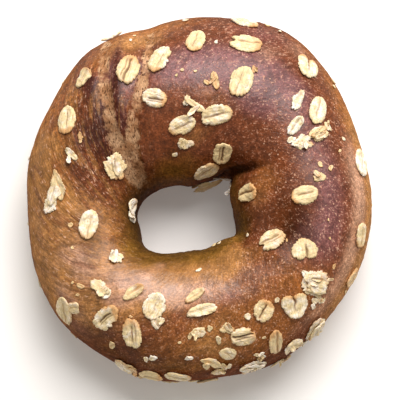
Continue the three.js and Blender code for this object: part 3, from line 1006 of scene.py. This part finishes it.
    def _quads(self) -> np.ndarray:
        """Lists the grid's faces, for tests of what touches the crust."""
        i, j = np.meshgrid(np.arange(self.ring_steps), np.arange(self.tube_steps), indexing="ij")
        next_i, next_j = (i + 1) % self.ring_steps, (j + 1) % self.tube_steps
        corners = [(i, j), (i, next_j), (next_i, next_j), (next_i, j)]
        return np.stack([(a * self.tube_steps + b).ravel() for a, b in corners], 1)

    def _mesh(self) -> bpy.types.Mesh:
        """Spins a closed ring of faces, moves its points onto the sculpted grid and stores the fields.

        Returns:
            The mesh, with its fields as attributes and its ring and tube angles as the UV map "dough".
        """
        shape = bmesh.new()
        bmesh.ops.create_circle(shape, cap_ends=False, segments=self.tube_steps, radius=0.5)
        stand = Matrix.Translation((1.0, 0, 0)) @ Matrix.Rotation(math.pi / 2, 4, "X")
        bmesh.ops.transform(shape, matrix=stand, verts=shape.verts)
        bmesh.ops.spin(shape, geom=shape.verts[:] + shape.edges[:], cent=(0, 0, 0), axis=(0, 0, 1),
                       angle=TURN, steps=self.ring_steps, use_merge=True)
        bmesh.ops.recalc_face_normals(shape, faces=shape.faces)
        mesh = bpy.data.meshes.new("bread_crust")
        shape.to_mesh(mesh)
        shape.free()

        count = len(mesh.vertices)
        raw = np.empty(count * 3)
        mesh.vertices.foreach_get("co", raw)
        raw = raw.reshape(-1, 3)
        ring = np.arctan2(raw[:, 1], raw[:, 0])
        tube = np.arctan2(np.hypot(raw[:, 0], raw[:, 1]) - 1.0, raw[:, 2])
        i = np.rint(ring / TURN * self.ring_steps).astype(int) % self.ring_steps
        # the circle's first point may lie half a step off the crest, so its own steps are counted
        j = np.floor(tube / TURN * self.tube_steps + 0.25).astype(int) % self.tube_steps
        mesh.vertices.foreach_set("co", self.grid[i, j].ravel())
        for name, values in self.fields.items():
            attribute = mesh.attributes.new(name, "FLOAT", "POINT")
            attribute.data.foreach_set("value", values[i, j].astype(np.float32))

        corners = np.empty(len(mesh.loops), int)
        mesh.loops.foreach_get("vertex_index", corners)
        corners = corners.reshape(-1, 4)
        half_round = (j[corners] + self.tube_steps // 2) % self.tube_steps - self.tube_steps // 2
        angles = np.stack([i[corners] / self.ring_steps, half_round / self.tube_steps], 2)
        wrapped = angles < angles.max(1, keepdims=True) - 0.5
        angles[wrapped] += 1.0
        mesh.uv_layers.new(name="dough").data.foreach_set("uv", angles.ravel().astype(np.float32))
        mesh.update()
        return mesh


# ---- The rolled oats ----


class FlakeKind(Enum):
    """What state a rolled oat is in."""

    WHOLE = "whole"
    SPLIT = "split"
    HEART = "heart"
    HALF = "half"
    SHARD = "shard"
    CLUSTER = "cluster"


@dataclass
class Lay:
    """Where a flake lies: its middle, its own three directions, and its outline seen from above."""

    centre: Vector
    along: Vector
    across: Vector
    up: Vector
    outline: Callable[[np.ndarray], np.ndarray]
    length: float
    width: float

    def place(self, local: np.ndarray) -> np.ndarray:
        """Turns places in the flake's own directions into places in the frame."""
        axes = np.array([self.along, self.across, self.up])
        return np.array(self.centre) + local @ axes

    @classmethod
    def of_node(cls, name: str, away_from: Vector, notched: bool = False) -> "Lay":
        """Reads the lay of one of the frame's flakes.

        Args:
            name: the flake's node.
            away_from: a point inside the bread under the flake.
            notched: whether it runs towards a notch in its rim, not along its greatest length.

        Returns:
            The lay, whose outline follows the node's own.
        """
        shape = bmesh.new()
        shape.from_mesh(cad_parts[name].data)
        bmesh.ops.remove_doubles(shape, verts=shape.verts, dist=MM / 200)
        points = np.array([v.co for v in shape.verts])
        edges = np.array([[v.index for v in e.verts] for e in shape.edges])
        shape.free()
        centre = (points.max(0) + points.min(0)) / 2
        _, _, axes = np.linalg.svd(points - points.mean(0))
        if axes[2] @ (centre - np.array(away_from)) < 0:
            axes[2] *= -1
        if axes[0][1] + 0.4 * axes[0][0] < 0:
            axes[0] *= -1
        axes[1] = np.cross(axes[2], axes[0])
        flat = (points - centre) @ axes[:2].T
        angles = np.linspace(0, TURN, 64, endpoint=False)
        reaches = cls._reach(flat[edges], angles)
        if notched:
            hollow = np.roll(reaches, 6) + np.roll(reaches, -6) - 2 * reaches
            turn = angles[np.argmax(hollow)]
            axes[0] = math.cos(turn) * axes[0] + math.sin(turn) * axes[1]
            axes[1] = np.cross(axes[2], axes[0])
            flat = (points - centre) @ axes[:2].T
            reaches = cls._reach(flat[edges], angles)
        turned = np.concatenate([reaches[-2:], reaches, reaches[:2]])
        reaches = np.convolve(turned, [0.1, 0.2, 0.4, 0.2, 0.1], "valid")

        def outline(angle: np.ndarray) -> np.ndarray:
            """Reads the smoothed reach at any angle."""
            return np.interp(angle % TURN, angles, reaches, period=TURN)

        return cls(Vector(centre), Vector(axes[0]), Vector(axes[1]), Vector(axes[2]), outline,
                   float(np.ptp(flat[:, 0])), float(np.ptp(flat[:, 1])))

    @staticmethod
    def _reach(segments: np.ndarray, angles: np.ndarray) -> np.ndarray:
        """Finds how far a flat web of segments reaches from the middle at each angle."""
        start = segments[:, 0]
        run = segments[:, 1] - start
        reaches = []
        for angle in angles:
            ray = np.array([math.cos(angle), math.sin(angle)])
            cross = ray[0] * run[:, 1] - ray[1] * run[:, 0]
            cross = np.where(np.abs(cross) < 1e-12, 1e-12, cross)
            far = (start[:, 0] * run[:, 1] - start[:, 1] * run[:, 0]) / cross
            part = (start[:, 0] * ray[1] - start[:, 1] * ray[0]) / cross
            hit = (part >= -1e-6) & (part <= 1 + 1e-6) & (far > 0)
            reaches.append(far[hit].max())
        return np.array(reaches)

    @staticmethod
    def oval(length: float, width: float, draw: random.Random) -> Callable[[np.ndarray], np.ndarray]:
        """Makes the outline of a broken piece: an oval with random flats and corners.

        Args:
            length: the piece's length in metres.
            width: its width in metres.
            draw: gives the flats and corners.

        Returns:
            A function from angles to reaches.
        """
        count = draw.choice((5, 6, 7))
        shares = [draw.uniform(0.58, 1.32) for _ in range(count)]
        steps = np.sort([(k + draw.uniform(-0.3, 0.3)) * TURN / count % TURN for k in range(count)])

        def reach(angle: np.ndarray) -> np.ndarray:
            """Reads the reach at any angle."""
            ellipse = 1 / np.sqrt((np.cos(angle) / (length / 2)) ** 2 + (np.sin(angle) / (width / 2)) ** 2)
            return ellipse * np.interp(angle % TURN, steps, shares, period=TURN)

        return reach

    @classmethod
    def on_crust(cls, bread: BreadRing, ring: float, tube: float, length: float, width: float, turn: float,
                 draw: random.Random) -> "Lay":
        """Lays a new flake on the crust.

        Args:
            bread: the finished ring.
            ring: ring angle in degrees.
            tube: tube angle in degrees.
            length: the flake's length in metres.
            width: its width in metres.
            turn: how far it is turned from the ring's direction, anticlockwise from outside, in degrees.
            draw: gives its outline.

        Returns:
            The lay.
        """
        point, normal, ahead = bread.at(ring, tube)
        ahead = (ahead - normal * ahead.dot(normal)).normalized()
        along = Matrix.Rotation(math.radians(turn), 3, normal) @ ahead
        return cls(point, along, normal.cross(along), normal, cls.oval(length, width, draw), length, width)


@dataclass(frozen=True)
class Character:
    """How a kind of flake looks: its thickness, crease and raggedness, with sizes in millimetres."""

    thickness: float
    crease: float
    crease_width: float
    ragged: float
    lump: float
    lift: float


CHARACTERS: dict[FlakeKind, Character] = {
    FlakeKind.WHOLE: Character(0.85, 0.20, 0.30, 0.085, 0.22, 0.55),
    FlakeKind.SPLIT: Character(0.95, 0.55, 0.36, 0.100, 0.24, 0.60),
    FlakeKind.HEART: Character(0.90, 0.55, 0.38, 0.095, 0.26, 0.55),
    FlakeKind.HALF: Character(0.85, 0.08, 0.30, 0.110, 0.26, 0.70),
    FlakeKind.SHARD: Character(0.55, 0.00, 0.30, 0.200, 0.24, 0.70),
    FlakeKind.CLUSTER: Character(0.60, 0.20, 0.28, 0.150, 0.28, 0.70),
}


@dataclass(frozen=True)
class Bite:
    """A piece missing from a flake's rim: where it is, in degrees round the flake, how wide and how deep."""

    angle: float
    width: float
    depth: float


@dataclass(frozen=True)
class Nature:
    """How one flake differs from a plain one of its kind.

    Angles run round the flake, seen from outside, from its upper or right-hand tip.
    """

    tip: float = 0.0
    tip_toast: float = 0.4
    toast: float = 0.0
    tone: float = 0.3
    curl: float = 0.0
    curl_side: float = 90.0
    tilt: tuple[float, float] = (0.0, 0.0)
    rise: float = 0.0
    hang: float = 0.0
    bites: tuple[Bite, ...] = ()
    leaves: int = 3

    @classmethod
    def drawn(cls, draw: random.Random) -> "Nature":
        """Draws the nature of a flake that needs no particular one."""
        bites = tuple(Bite(draw.uniform(0, 360), draw.uniform(8, 20), draw.uniform(0.10, 0.28))
                      for _ in range(draw.choice((0, 1, 1, 2))))
        return cls(draw.choice((0.0, 180.0)), draw.uniform(0.1, 0.9), draw.uniform(-0.15, 0.25),
                   draw.uniform(-0.4, 0.8), draw.uniform(0.0, 0.5), draw.uniform(0, 360), bites=bites)


class FlakeMaker:
    """Shapes rolled-oat flakes and presses them onto the crust."""

    full_length = 7 * MM

    def __init__(self, bread: BreadRing) -> None:
        """Keeps the crust that the flakes lie on."""
        self.bread = bread

    def shape(self, lay: Lay, kind: FlakeKind, seed: int, nature: Nature,
              fineness: int = 5) -> bmesh.types.BMesh:
        """Shapes one flake.

        Args:
            lay: where it lies.
            kind: what state it is in.
            seed: sets its own small differences.
            nature: its colouring, curl and missing pieces.
            fineness: how finely it is divided.

        Returns:
            The flake's closed shape, with the layers toast, crease and tone, and its lay as a UV map.
        """
        looks = CHARACTERS[kind]
        draw = random.Random(seed)
        shift = draw.uniform(0, 50)
        size = min(1.0, lay.length / self.full_length)
        shape = bmesh.new()
        bmesh.ops.create_icosphere(shape, subdivisions=fineness, radius=1.0)
        sphere = np.array([v.co for v in shape.verts])
        angle = np.arctan2(sphere[:, 1], sphere[:, 0])
        share = np.arcsin(np.clip(np.hypot(sphere[:, 0], sphere[:, 1]), 0, 1)) / (math.pi / 2)
        above = sphere[:, 2] >= 0

        flat = self._outlined(lay, looks, nature, angle, share, shift)
        along, across = flat[:, 0] / lay.length * 2, flat[:, 1] / lay.width * 2
        body = np.sqrt(np.clip(1 - share**6, 0, 1))

        # the crease wanders down the middle and stops short of both ends
        wander = 0.14 * noise_field(flat * [1, 0, 0], 3 * MM, 2, shift + 13) + draw.uniform(-0.14, 0.14)
        off_crease = (across - wander) * lay.width / 2 / MM
        crease_width = looks.crease_width * size * (0.85 + 0.6 * noise_field(flat, 1.5 * MM, 1, shift + 17))
        strength = draw.uniform(0.6, 1.1)
        low_end, high_end = draw.uniform(0.55, 0.98), draw.uniform(0.55, 0.98)
        rough = draw.uniform(0.4, 1.0)
        crease = bell(off_crease / crease_width)
        if kind is FlakeKind.HEART:
            crease *= smooth_step(-0.75, 0.2, along)
            strength = 1.0
        else:
            for end, way in ((low_end, -along), (high_end, along)):
                crease *= 1 - smooth_step(end - 0.2, end, way)
        if kind is FlakeKind.SPLIT and draw.random() < 0.5:
            second = off_crease - draw.choice((-1, 1)) * draw.uniform(0.75, 1.1) * size
            short = 1 - smooth_step(0.45, 0.8, np.abs(along))
            crease = np.maximum(crease, 0.6 * bell(second / (0.7 * crease_width)) * short)

        # a cross-section of two soft lobes, with fibres, lumps, wrinkles and cracks
        lobes = 0.34 * bell((np.abs(off_crease) - lay.width / 4.4 / MM) / (lay.width / 5 / MM))
        fibres = noise_field(flat * [0.14, 1, 0], 0.6 * MM, 2, shift + 21)
        lumps = noise_field(flat, 2.4 * MM, 2, shift + 31)
        wrinkled = -np.abs(noise_field(flat, 1.3 * MM, 2, shift + 51))
        cracks = bell(noise_field(flat * [0.6, 1, 0], 1.5 * MM, 1, shift + 61) / 0.07)
        cracks *= smooth_step(0.0, 0.35, noise_field(flat, 2.6 * MM, 1, shift + 71))
        cracks *= 1 - smooth_step(0.8, 1, share)
        top = looks.thickness * (0.55 + lobes) + 0.06 * fibres + looks.lump * lumps
        top += rough * (0.9 * looks.lump * wrinkled - 0.14 * cracks)
        top = top * body - looks.crease * strength * crease
        bottom = (0.06 * lumps - 0.35 * looks.thickness) * body
        height = np.where(above, np.maximum(top, bottom + 0.08 * body), bottom) * MM * (0.45 + 0.55 * size)
        rest = self._rest(lay, flat) + self._bowed(lay, looks, nature, flat, angle, share, draw)

        tip = np.cos(angle - math.radians(nature.tip)) * share
        patchy = noise_field(flat, 2.4 * MM, 2, shift + 41)
        toast = nature.toast + nature.tip_toast * smooth_step(0.35, 0.95, tip + 0.25 * patchy)
        # the browner band along the crease is painted shade; the browner rim is toast
        toast += 0.35 * smooth_step(0.82, 1.0, share) * (0.6 + patchy) + 0.45 * np.sqrt(crease)
        dark = above * np.maximum(crease * strength * min(1.0, looks.crease / 0.35), 0.4 * rough * cracks)
        fields = {"toast": toast, "crease": dark, "tone": np.full(len(flat), nature.tone)}
        spots = lay.place(flat + np.outer(rest + height, [0, 0, 1]))
        self._store(shape, spots, fields, flat[:, :2] / MM + shift)
        return shape

    @staticmethod
    def _store(shape: bmesh.types.BMesh, spots: np.ndarray, fields: dict, lay: np.ndarray) -> None:
        """Moves a flake's points into place, and keeps its fields as layers and its lay as a UV map."""
        for name in fields:
            shape.verts.layers.float.new(name)
        layers = [shape.verts.layers.float[name] for name in fields]
        for vertex, spot, *values in zip(shape.verts, spots, *fields.values()):
            vertex.co = spot
            for layer, value in zip(layers, values):
                vertex[layer] = value
        lay_map = shape.loops.layers.uv.new("lay")
        shape.verts.index_update()
        for face in shape.faces:
            for corner in face.loops:
                corner[lay_map].uv = lay[corner.vert.index]

    @staticmethod
    def _outlined(lay: Lay, looks: Character, nature: Nature, angle: np.ndarray, share: np.ndarray,
                  shift: float) -> np.ndarray:
        """Spreads the flake's points out to its frayed and bitten outline, in its own flat directions."""
        round_trip = np.stack([np.cos(angle), np.sin(angle), np.zeros_like(angle)], 1)
        frayed = 0.8 * noise_field(round_trip, 0.45, 2, shift)
        frayed += 0.5 - 1.8 * np.abs(noise_field(round_trip, 0.17, 2, shift + 7))
        reach = lay.outline(angle) * (1 + looks.ragged * frayed * share**4) * share
        for bite in nature.bites:
            off = degrees_off(np.degrees(angle), bite.angle)
            reach *= 1 - bite.depth * np.exp(-((off / bite.width) ** 4)) * share**3
        return np.stack([reach * np.cos(angle), reach * np.sin(angle), np.zeros_like(reach)], 1)

    @staticmethod
    def _bowed(lay: Lay, looks: Character, nature: Nature, flat: np.ndarray, angle: np.ndarray,
               share: np.ndarray, draw: random.Random) -> np.ndarray:
        """Bends the flake as it dried: its ends and one side lift off the crust."""
        along, across = flat[:, 0] / lay.length * 2, flat[:, 1] / lay.width * 2
        bow = draw.uniform(0.4, 1.0) * looks.lift * MM * min(1.0, lay.length / FlakeMaker.full_length)
        lifted = bow * along**2 + draw.uniform(-0.2, 0.7) * bow * across**2
        lifted += draw.uniform(-0.3, 0.3) * bow * along * across
        side = np.cos(angle - math.radians(nature.curl_side)) * share
        lifted += nature.curl * 1.6 * MM * smooth_step(0.25, 1.15, side)
        lifted += nature.tilt[0] * (flat[:, 0] + lay.length / 2)
        lifted += nature.tilt[1] * (flat[:, 1] + lay.width / 2)
        fall = np.array([-lay.along.z, -lay.across.z])
        lifted += nature.hang * (flat[:, :2] @ fall + lay.width / 2)
        return lifted + nature.rise * MM

    def _rest(self, lay: Lay, flat: np.ndarray) -> np.ndarray:
        """Finds how high the pressed flake's sheet lies at each point, in the flake's own up direction.

        Args:
            lay: where the flake lies.
            flat: points in the flake's own flat directions.

        Returns:
            The height of the sheet's middle over the lay's centre.
        """
        reach = 6 * MM
        ground = np.empty(len(flat))
        for k, spot in enumerate(lay.place(flat + [0, 0, reach])):
            hit = self.bread.surface.ray_cast(Vector(spot), -lay.up, 3 * reach)
            ground[k] = reach - hit[3] if hit[0] is not None else -reach / 4
        distance = np.hypot(flat[:, 0], flat[:, 1])
        middle = ground[np.argsort(distance)[:12]].mean()
        conform = 0.62
        return np.maximum(conform * ground + (1 - conform) * middle, ground) + 0.12 * MM

    def cluster(self, lay: Lay, seed: int, nature: Nature) -> list[bmesh.types.BMesh]:
        """Shapes a crushed flake: ragged leaves that lie over one another inside the lay's outline.

        Args:
            lay: where the whole cluster lies.
            seed: sets its own small differences.
            nature: the leaves' colouring.

        Returns:
            The leaves' closed shapes.
        """
        draw = random.Random(seed * 31)
        leaves = [self.shape(lay, FlakeKind.CLUSTER, seed * 10, nature)]
        for k in range(nature.leaves):
            side = (2 * k + 1) / nature.leaves - 1
            middle = (lay.centre + lay.across * (side * 0.50 * lay.width / 2)
                      + lay.along * (draw.uniform(-0.28, 0.28) * lay.length / 2))
            turn = draw.uniform(-0.45, 0.45)
            along = lay.along * math.cos(turn) + lay.across * math.sin(turn)
            length = lay.length * draw.uniform(0.62, 0.88)
            width = lay.width * draw.uniform(0.34, 0.52)
            outline = Lay.oval(length, width, draw)
            leaf = Lay(middle, along, lay.up.cross(along), lay.up, outline, length, width)
            own = Nature(tip=draw.choice((0, 180)), tip_toast=nature.tip_toast * draw.uniform(0.2, 1.4),
                         toast=nature.toast + draw.uniform(-0.2, 0.2),
                         tone=nature.tone + draw.uniform(-0.3, 0.3),
                         curl=draw.uniform(0.2, 0.9), curl_side=draw.choice((80, 100, 260, 280)),
                         rise=0.40 + 0.15 * k, tilt=(draw.uniform(-0.02, 0.06), draw.uniform(-0.03, 0.10)),
                         bites=(Bite(draw.uniform(0, 360), 16, 0.3), Bite(draw.uniform(0, 360), 9, 0.25)))
            leaves.append(self.shape(leaf, FlakeKind.CLUSTER, seed * 10 + k + 1, own, 4))
        return leaves


@dataclass(frozen=True)
class Bit:
    """A small piece of oat on the crust: ring and tube angles, size in millimetres, turn and toast."""

    ring: float
    tube: float
    length: float
    width: float
    turn: float
    toast: float = 0.0
    kind: FlakeKind = FlakeKind.SHARD


@dataclass
class OatTopping:
    """All the oat flakes: those with a place in the frame, the smaller pieces and the wall flakes."""

    maker: FlakeMaker
    loose_seed: int = 500
    folded_seed: int = 900
    folded_over_mm: float = 3.3
    wall_seed: int = 77
    wall_count: int = 30

    def build(self) -> list[bpy.types.Object]:
        """Shapes a flake for every oat node of the frame, then the loose shards, crumbs and wall flakes.

        Returns:
            The flakes' objects.
        """
        self.material = RolledOat().material()
        nodes = sorted(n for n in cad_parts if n.startswith("oat_"))
        pieces = [self._flake(name) for name in nodes]
        pieces.append(self._loose("oat_shards", SHARDS, 4))
        pieces.append(self._loose("oat_crumbs", CRUMBS, 3))
        pieces.append(self._wall_flakes())
        return pieces

    def _flake(self, name: str) -> bpy.types.Object:
        """Builds the flake that stands for one node."""
        _, word, number = name.split("_")
        kind = FlakeKind(word)
        seed = int(number)
        nature = NATURES.get(seed) or Nature.drawn(random.Random(seed * 17))
        low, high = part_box(name)
        lay = Lay.of_node(name, self._under((low + high) / 2), kind is FlakeKind.HEART)
        if kind is FlakeKind.CLUSTER:
            shapes = self.maker.cluster(lay, seed, nature)
        else:
            shapes = [self.maker.shape(lay, kind, seed, nature)]
        piece = self._joined(f"{name}_flake", shapes)
        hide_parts(name)
        return piece

    def _under(self, point: Vector) -> Vector:
        """Finds the point of the tube's core line nearest to a place."""
        cores = self.maker.bread.cores
        return Vector(cores[np.argmin(np.linalg.norm(cores - np.array(point), axis=1))])

    def _joined(self, name: str, shapes: Sequence[bmesh.types.BMesh]) -> bpy.types.Object:
        """Joins shapes into one piece of oat that rides on the root body."""
        mesh = bpy.data.meshes.new(name)
        whole = bmesh.new()
        for shape in shapes:
            shape.to_mesh(mesh)
            shape.free()
            whole.from_mesh(mesh)
        whole.to_mesh(mesh)
        whole.free()
        piece = finish_object(mesh, name, self.material)
        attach(piece, "root")
        return piece

    def _loose(self, name: str, bits: Sequence[Bit], fineness: int) -> bpy.types.Object:
        """Lays small pieces on the crust and joins them into one mesh."""
        shapes = []
        for k, bit in enumerate(bits):
            draw = random.Random(k * 7 + len(bits))
            length, width = bit.length * MM, bit.width * MM
            lay = Lay.on_crust(self.maker.bread, bit.ring, bit.tube, length, width, bit.turn, draw)
            nature = Nature(tip=draw.choice((0, 180)), tip_toast=draw.uniform(0, 0.5), toast=bit.toast,
                            tone=0.5 - bit.toast, curl=draw.uniform(0, 0.35) * min(1.0, bit.length / 4),
                            curl_side=draw.uniform(0, 360), bites=(Bite(draw.uniform(0, 360), 18, 0.25),))
            seed = k + 100 * len(bits)
            shapes.append(self.maker.shape(lay, bit.kind, self.loose_seed + seed, nature, fineness))
            if bit.kind is FlakeKind.SHARD and bit.length > self.folded_over_mm:
                spot = (bit.ring + draw.uniform(-2, 2), bit.tube + draw.uniform(-3, 3))
                turn = bit.turn + draw.uniform(30, 150)
                leaf = Lay.on_crust(self.maker.bread, *spot, 0.62 * length, 0.66 * width, turn, draw)
                folded = replace(nature, rise=0.45, curl=0.8, tone=nature.tone + draw.uniform(-0.2, 0.5))
                shapes.append(self.maker.shape(leaf, bit.kind, self.folded_seed + seed, folded, fineness))
        return self._joined(name, shapes)

    def _wall_flakes(self) -> bpy.types.Object:
        """Scatters a few flakes and crumbs over the outer walls, sparser than on top."""
        draw = random.Random(self.wall_seed)
        kinds = (FlakeKind.WHOLE, FlakeKind.SPLIT, FlakeKind.HALF, FlakeKind.SHARD, FlakeKind.SHARD)
        bits = []
        for k in range(self.wall_count):
            kind = draw.choice(kinds)
            length = draw.uniform(2.0, 5.5) if kind is FlakeKind.SHARD else draw.uniform(7.0, 9.5)
            width = length * draw.uniform(0.55, 0.72)
            ring = k * 360 / self.wall_count + draw.uniform(-5, 5)
            bits.append(Bit(ring, draw.uniform(103, 124), length, width, draw.uniform(0, 180),
                            draw.uniform(-0.1, 0.4), kind))
        return self._loose("wall_oats", bits, 4)


NATURES: dict[int, Nature] = {
    1: Nature(180, 0.8, 0.0, 0.1),
    2: Nature(0, 0.7, 0.1, 0.2, bites=(Bite(176, 9, 0.35), Bite(140, 10, 0.2))),
    4: Nature(180, 0.9, -0.1, 0.5, bites=(Bite(300, 16, 0.25), Bite(262, 9, 0.15))),
    5: Nature(0, 0.6, 0.15, 0.2, 0.4, 90, bites=(Bite(325, 12, 0.15),)),
    6: Nature(0, 0.6, 0.1, 0.3, 0.8, 20, bites=(Bite(270, 30, 0.3),)),
    7: Nature(0, 1.0, 0.0, 0.7, 0.5, 90),
    8: Nature(180, 0.4, -0.1, 0.2),
    9: Nature(0, 0.5, 0.05, 0.4, 0.4, 90),
    10: Nature(200, 0.8, 0.0, 0.4, bites=(Bite(230, 14, 0.25),)),
    11: Nature(180, 0.4, 0.1, -0.2, 0.3, 0),
    12: Nature(0, 0.7, 0.1, 0.4, 0.5, 270, bites=(Bite(60, 14, 0.2),)),
    13: Nature(0, 0.5, 0.2, 0.2, hang=0.55, bites=(Bite(60, 14, 0.2),)),
    15: Nature(0, 0.6, 0.0, 0.9, 0.5, 180),
    16: Nature(0, 0.9, 0.0, 0.5),
    17: Nature(0, 0.2, 0.0, 0.9, 0.6, 0),
    18: Nature(0, 0.4, -0.1, 0.6),
    19: Nature(180, 0.1, -0.3, 0.9, 0.5, 0),
    20: Nature(0, 0.3, 0.15, 0.3),
    21: Nature(0, 0.3, 0.05, 0.9),
    22: Nature(0, 0.3, -0.1, 0.9, 0.4, 270),
    23: Nature(180, 0.9, 0.05, 0.1),
    24: Nature(0, 0.5, 0.1, 0.3, 0.3, 90, bites=(Bite(185, 10, 0.3),)),
    25: Nature(180, 0.3, 0.1, 0.2),
    26: Nature(180, 0.6, 0.2, 0.3, 0.6, 90),
    27: Nature(0, 0.6, 0.5, 0.2, 0.3, 90),
    28: Nature(180, 1.0, 0.0, 0.2, bites=(Bite(120, 9, 0.12),)),
    29: Nature(180, 0.8, -0.05, 0.4, 0.4, 90, bites=(Bite(215, 14, 0.25), Bite(30, 8, 0.15)), leaves=1),
    30: Nature(0, 0.3, 0.2, 0.2, 0.5, 270),
    31: Nature(180, 0.3, -0.2, 0.9, 0.3, 90),
    32: Nature(180, 0.6, -0.05, 0.6),
    33: Nature(0, 0.4, 0.1, 0.6, leaves=4),
    34: Nature(0, 0.8, 0.05, 0.5, 0.3, 180),
    35: Nature(0, 1.0, 0.25, 0.3, 0.4, 270),
    36: Nature(0, 0.5, 0.1, 0.3, bites=(Bite(30, 10, 0.18),)),
    37: Nature(0, 0.8, 0.3, 0.1, 0.5, 90),
    38: Nature(0, 0.2, 0.0, 0.4),
    39: Nature(180, 0.8, 0.15, 0.7),
    40: Nature(0, 0.5, 0.20, 0.2, 0.8, 0, bites=(Bite(150, 18, 0.2),)),
    41: Nature(180, 0.2, -0.1, 0.6, 0.3, 0),
    42: Nature(180, 0.4, 0.1, 0.2, 0.5, 90),
    43: Nature(180, 0.4, -0.1, 0.6, 0.9, 270),
    44: Nature(0, 1.0, 0.0, 0.5, 0.4, 270, bites=(Bite(290, 14, 0.2), Bite(250, 8, 0.12))),
    45: Nature(0, 0.7, 0.05, 0.2, 0.4, 90),
    46: Nature(180, 0.2, 0.1, 0.3, 0.6, 90),
    49: Nature(0, 0.4, 0.0, 0.4, 0.6, 90),
    50: Nature(180, 0.4, 0.1, 0.3),
    51: Nature(180, 0.4, 0.0, 0.9),
}

SHARDS: tuple[Bit, ...] = tuple(Bit(*row) for row in (
    (83, -18, 8.2, 2.4, 143, 0.1), (88, -13, 3.6, 2.2, 60, 0.0), (89, -44, 4.5, 3.5, 178, 0.0),
    (158, 11, 5.8, 2.6, 65, -0.3), (177, 25, 6.6, 4.0, 160, -0.2, FlakeKind.HALF),
    (220, -22, 6.6, 4.2, 5, -0.1), (228, 9, 6.4, 3.8, 14, 0.1), (258, 17, 3.8, 2.6, 134, 0.1),
    (225, 43, 4.8, 4.4, 48, 0.2, FlakeKind.HALF), (252, 78, 5.0, 3.5, 98, 0.5),
    (276, 25, 4.1, 3.4, 172, 0.1), (273, 28, 3.0, 1.4, 60, 0.2), (288, 26, 5.4, 3.0, 1, 0.3),
    (279, 57, 6.0, 3.2, 144, 0.2), (284, 66, 4.6, 3.0, 105, 0.1), (282, 73, 4.4, 4.0, 165, 0.2),
    (297, 61, 4.5, 1.9, 131, -0.2), (296, 66, 3.4, 1.9, 100, 0.3), (302, 90, 5.0, 2.0, 10, 0.0),
    (9, 11, 4.1, 2.6, 103, 0.3), (75, 0, 5.1, 2.2, 103, 0.55), (79, -1, 2.6, 1.8, 140, 0.5),
    (188, -62, 5.0, 4.2, 97, -0.4), (37, -92, 2.8, 2.0, 60, -0.7), (26, -84, 3.4, 2.2, 100, -0.7),
    (24, 8, 5.5, 2.8, 70, 0.1), (27, 16, 4.6, 2.2, 110, -0.1), (27, 30, 3.5, 1.8, 20, 0.0),
    (28, -4, 3.2, 2.0, 110, -0.5), (25, 2, 3.2, 2.4, 80, -0.2),
    (112, 76, 7.0, 2.4, 6, -0.3, FlakeKind.HALF), (70, -104, 4.0, 3.0, 150, 0.2),
    (231, 12, 3.0, 2.0, 80, -0.3), (324, 45, 5.0, 2.2, 60, 0.0), (327, 20, 3.2, 1.8, 100, -0.3),
    (307, 69, 4.6, 2.8, 30, -0.2), (330, 40, 3.4, 1.6, 60, 0.2), (322, 43, 3.6, 1.8, 100, 0.0)))

CRUMBS: tuple[Bit, ...] = tuple(Bit(*row) for row in (
    (101, -52, 1.9, 1.5, 20), (243, 55, 3.0, 2.2, 60, 0.4), (259, 52, 3.2, 1.8, 30, -0.3),
    (256, 55, 2.2, 1.5, 110, -0.2), (272, 50, 3.4, 1.5, 5, -0.4), (281, 24, 2.5, 1.6, 80, 0.1),
    (284, 35, 3.2, 1.6, 100, 0.1), (298, 20, 2.2, 1.9, 40), (281, -32, 2.1, 1.1, 20, -0.2),
    (14, 14, 1.9, 1.5, 10, 0.35), (79, 31, 2.0, 1.4, 80, -0.2), (62, 13, 3.4, 1.3, 100, 0.6),
    (313, -65, 2.2, 1.7, 0, 0.1), (308, -68, 1.5, 1.1, 0, 0.3), (333, -44, 1.8, 1.2, 50, -0.2),
    (90, 60, 2.2, 1.4, 10, -0.1), (336, 38, 1.6, 1.4, 0, 0.9), (192, 12, 1.9, 1.5, 60, 0.5),
    (203, 15, 1.6, 1.3, 30, 0.3), (148, 12, 2.5, 1.6, 40, 0.7), (150, 10, 1.4, 1.1, 10, 0.7),
    (22, 43, 1.9, 1.2, 60, 0.0), (18, 36, 1.6, 0.9, 110, 0.3), (39, 59, 1.9, 1.2, 20, 0.2),
    (41, 66, 2.6, 1.2, 25, 0.2), (325, 52, 1.8, 0.9, 30, -0.3), (312, 21, 2.4, 1.6, 20, 0.1),
    (220, 23, 3.0, 1.7, 30, 0.5), (222, 30, 1.4, 1.1, 30, 0.5), (312, 85, 3.0, 1.8, 20, -0.4),
    (30, -83, 1.9, 1.3, 0, -0.2), (160, 82, 1.2, 1.0, 0, -0.3), (108, 49, 1.6, 1.0, 70, -0.3),
    (106, 54, 1.2, 0.7, 20, -0.3), (217, 27, 1.6, 1.0, 80, 0.4), (85, 7, 1.4, 0.9, 30, 0.2),
    (91, 8, 1.5, 1.0, 60, 0.3), (93, 5, 1.1, 0.8, 60, 0.3), (333, 74, 1.5, 1.2, 0, 0.2),
    (66, 63, 2.4, 1.5, 30, 0.4), (62, 60, 1.8, 1.2, 100, 0.0), (12, 22, 2.6, 1.8, 0, 0.35),
    (351, 19, 1.2, 0.8, 0, 0.5), (337, -8, 1.4, 0.8, 40, 0.8), (345, 24, 1.1, 0.8, 40, 0.6),
    (246, 20, 1.3, 0.9, 10, 0.5), (268, 34, 1.2, 0.8, 10, 0.2), (300, 44, 1.4, 0.9, 10, 0.3)))


# ---- Assembly ----


def main() -> None:
    """Builds the studio, the bread and the oats, and reports each piece."""
    logging.basicConfig(level=logging.INFO, format="%(name)s: %(message)s")
    Studio().build()
    bread = BreadRing()
    crust = bread.build()
    LOG.info("%s: %d faces", crust.name, len(crust.data.polygons))
    for flake in OatTopping(FlakeMaker(bread)).build():
        LOG.info("%s: %d faces", flake.name, len(flake.data.polygons))


if __name__ == "__main__":
    main()
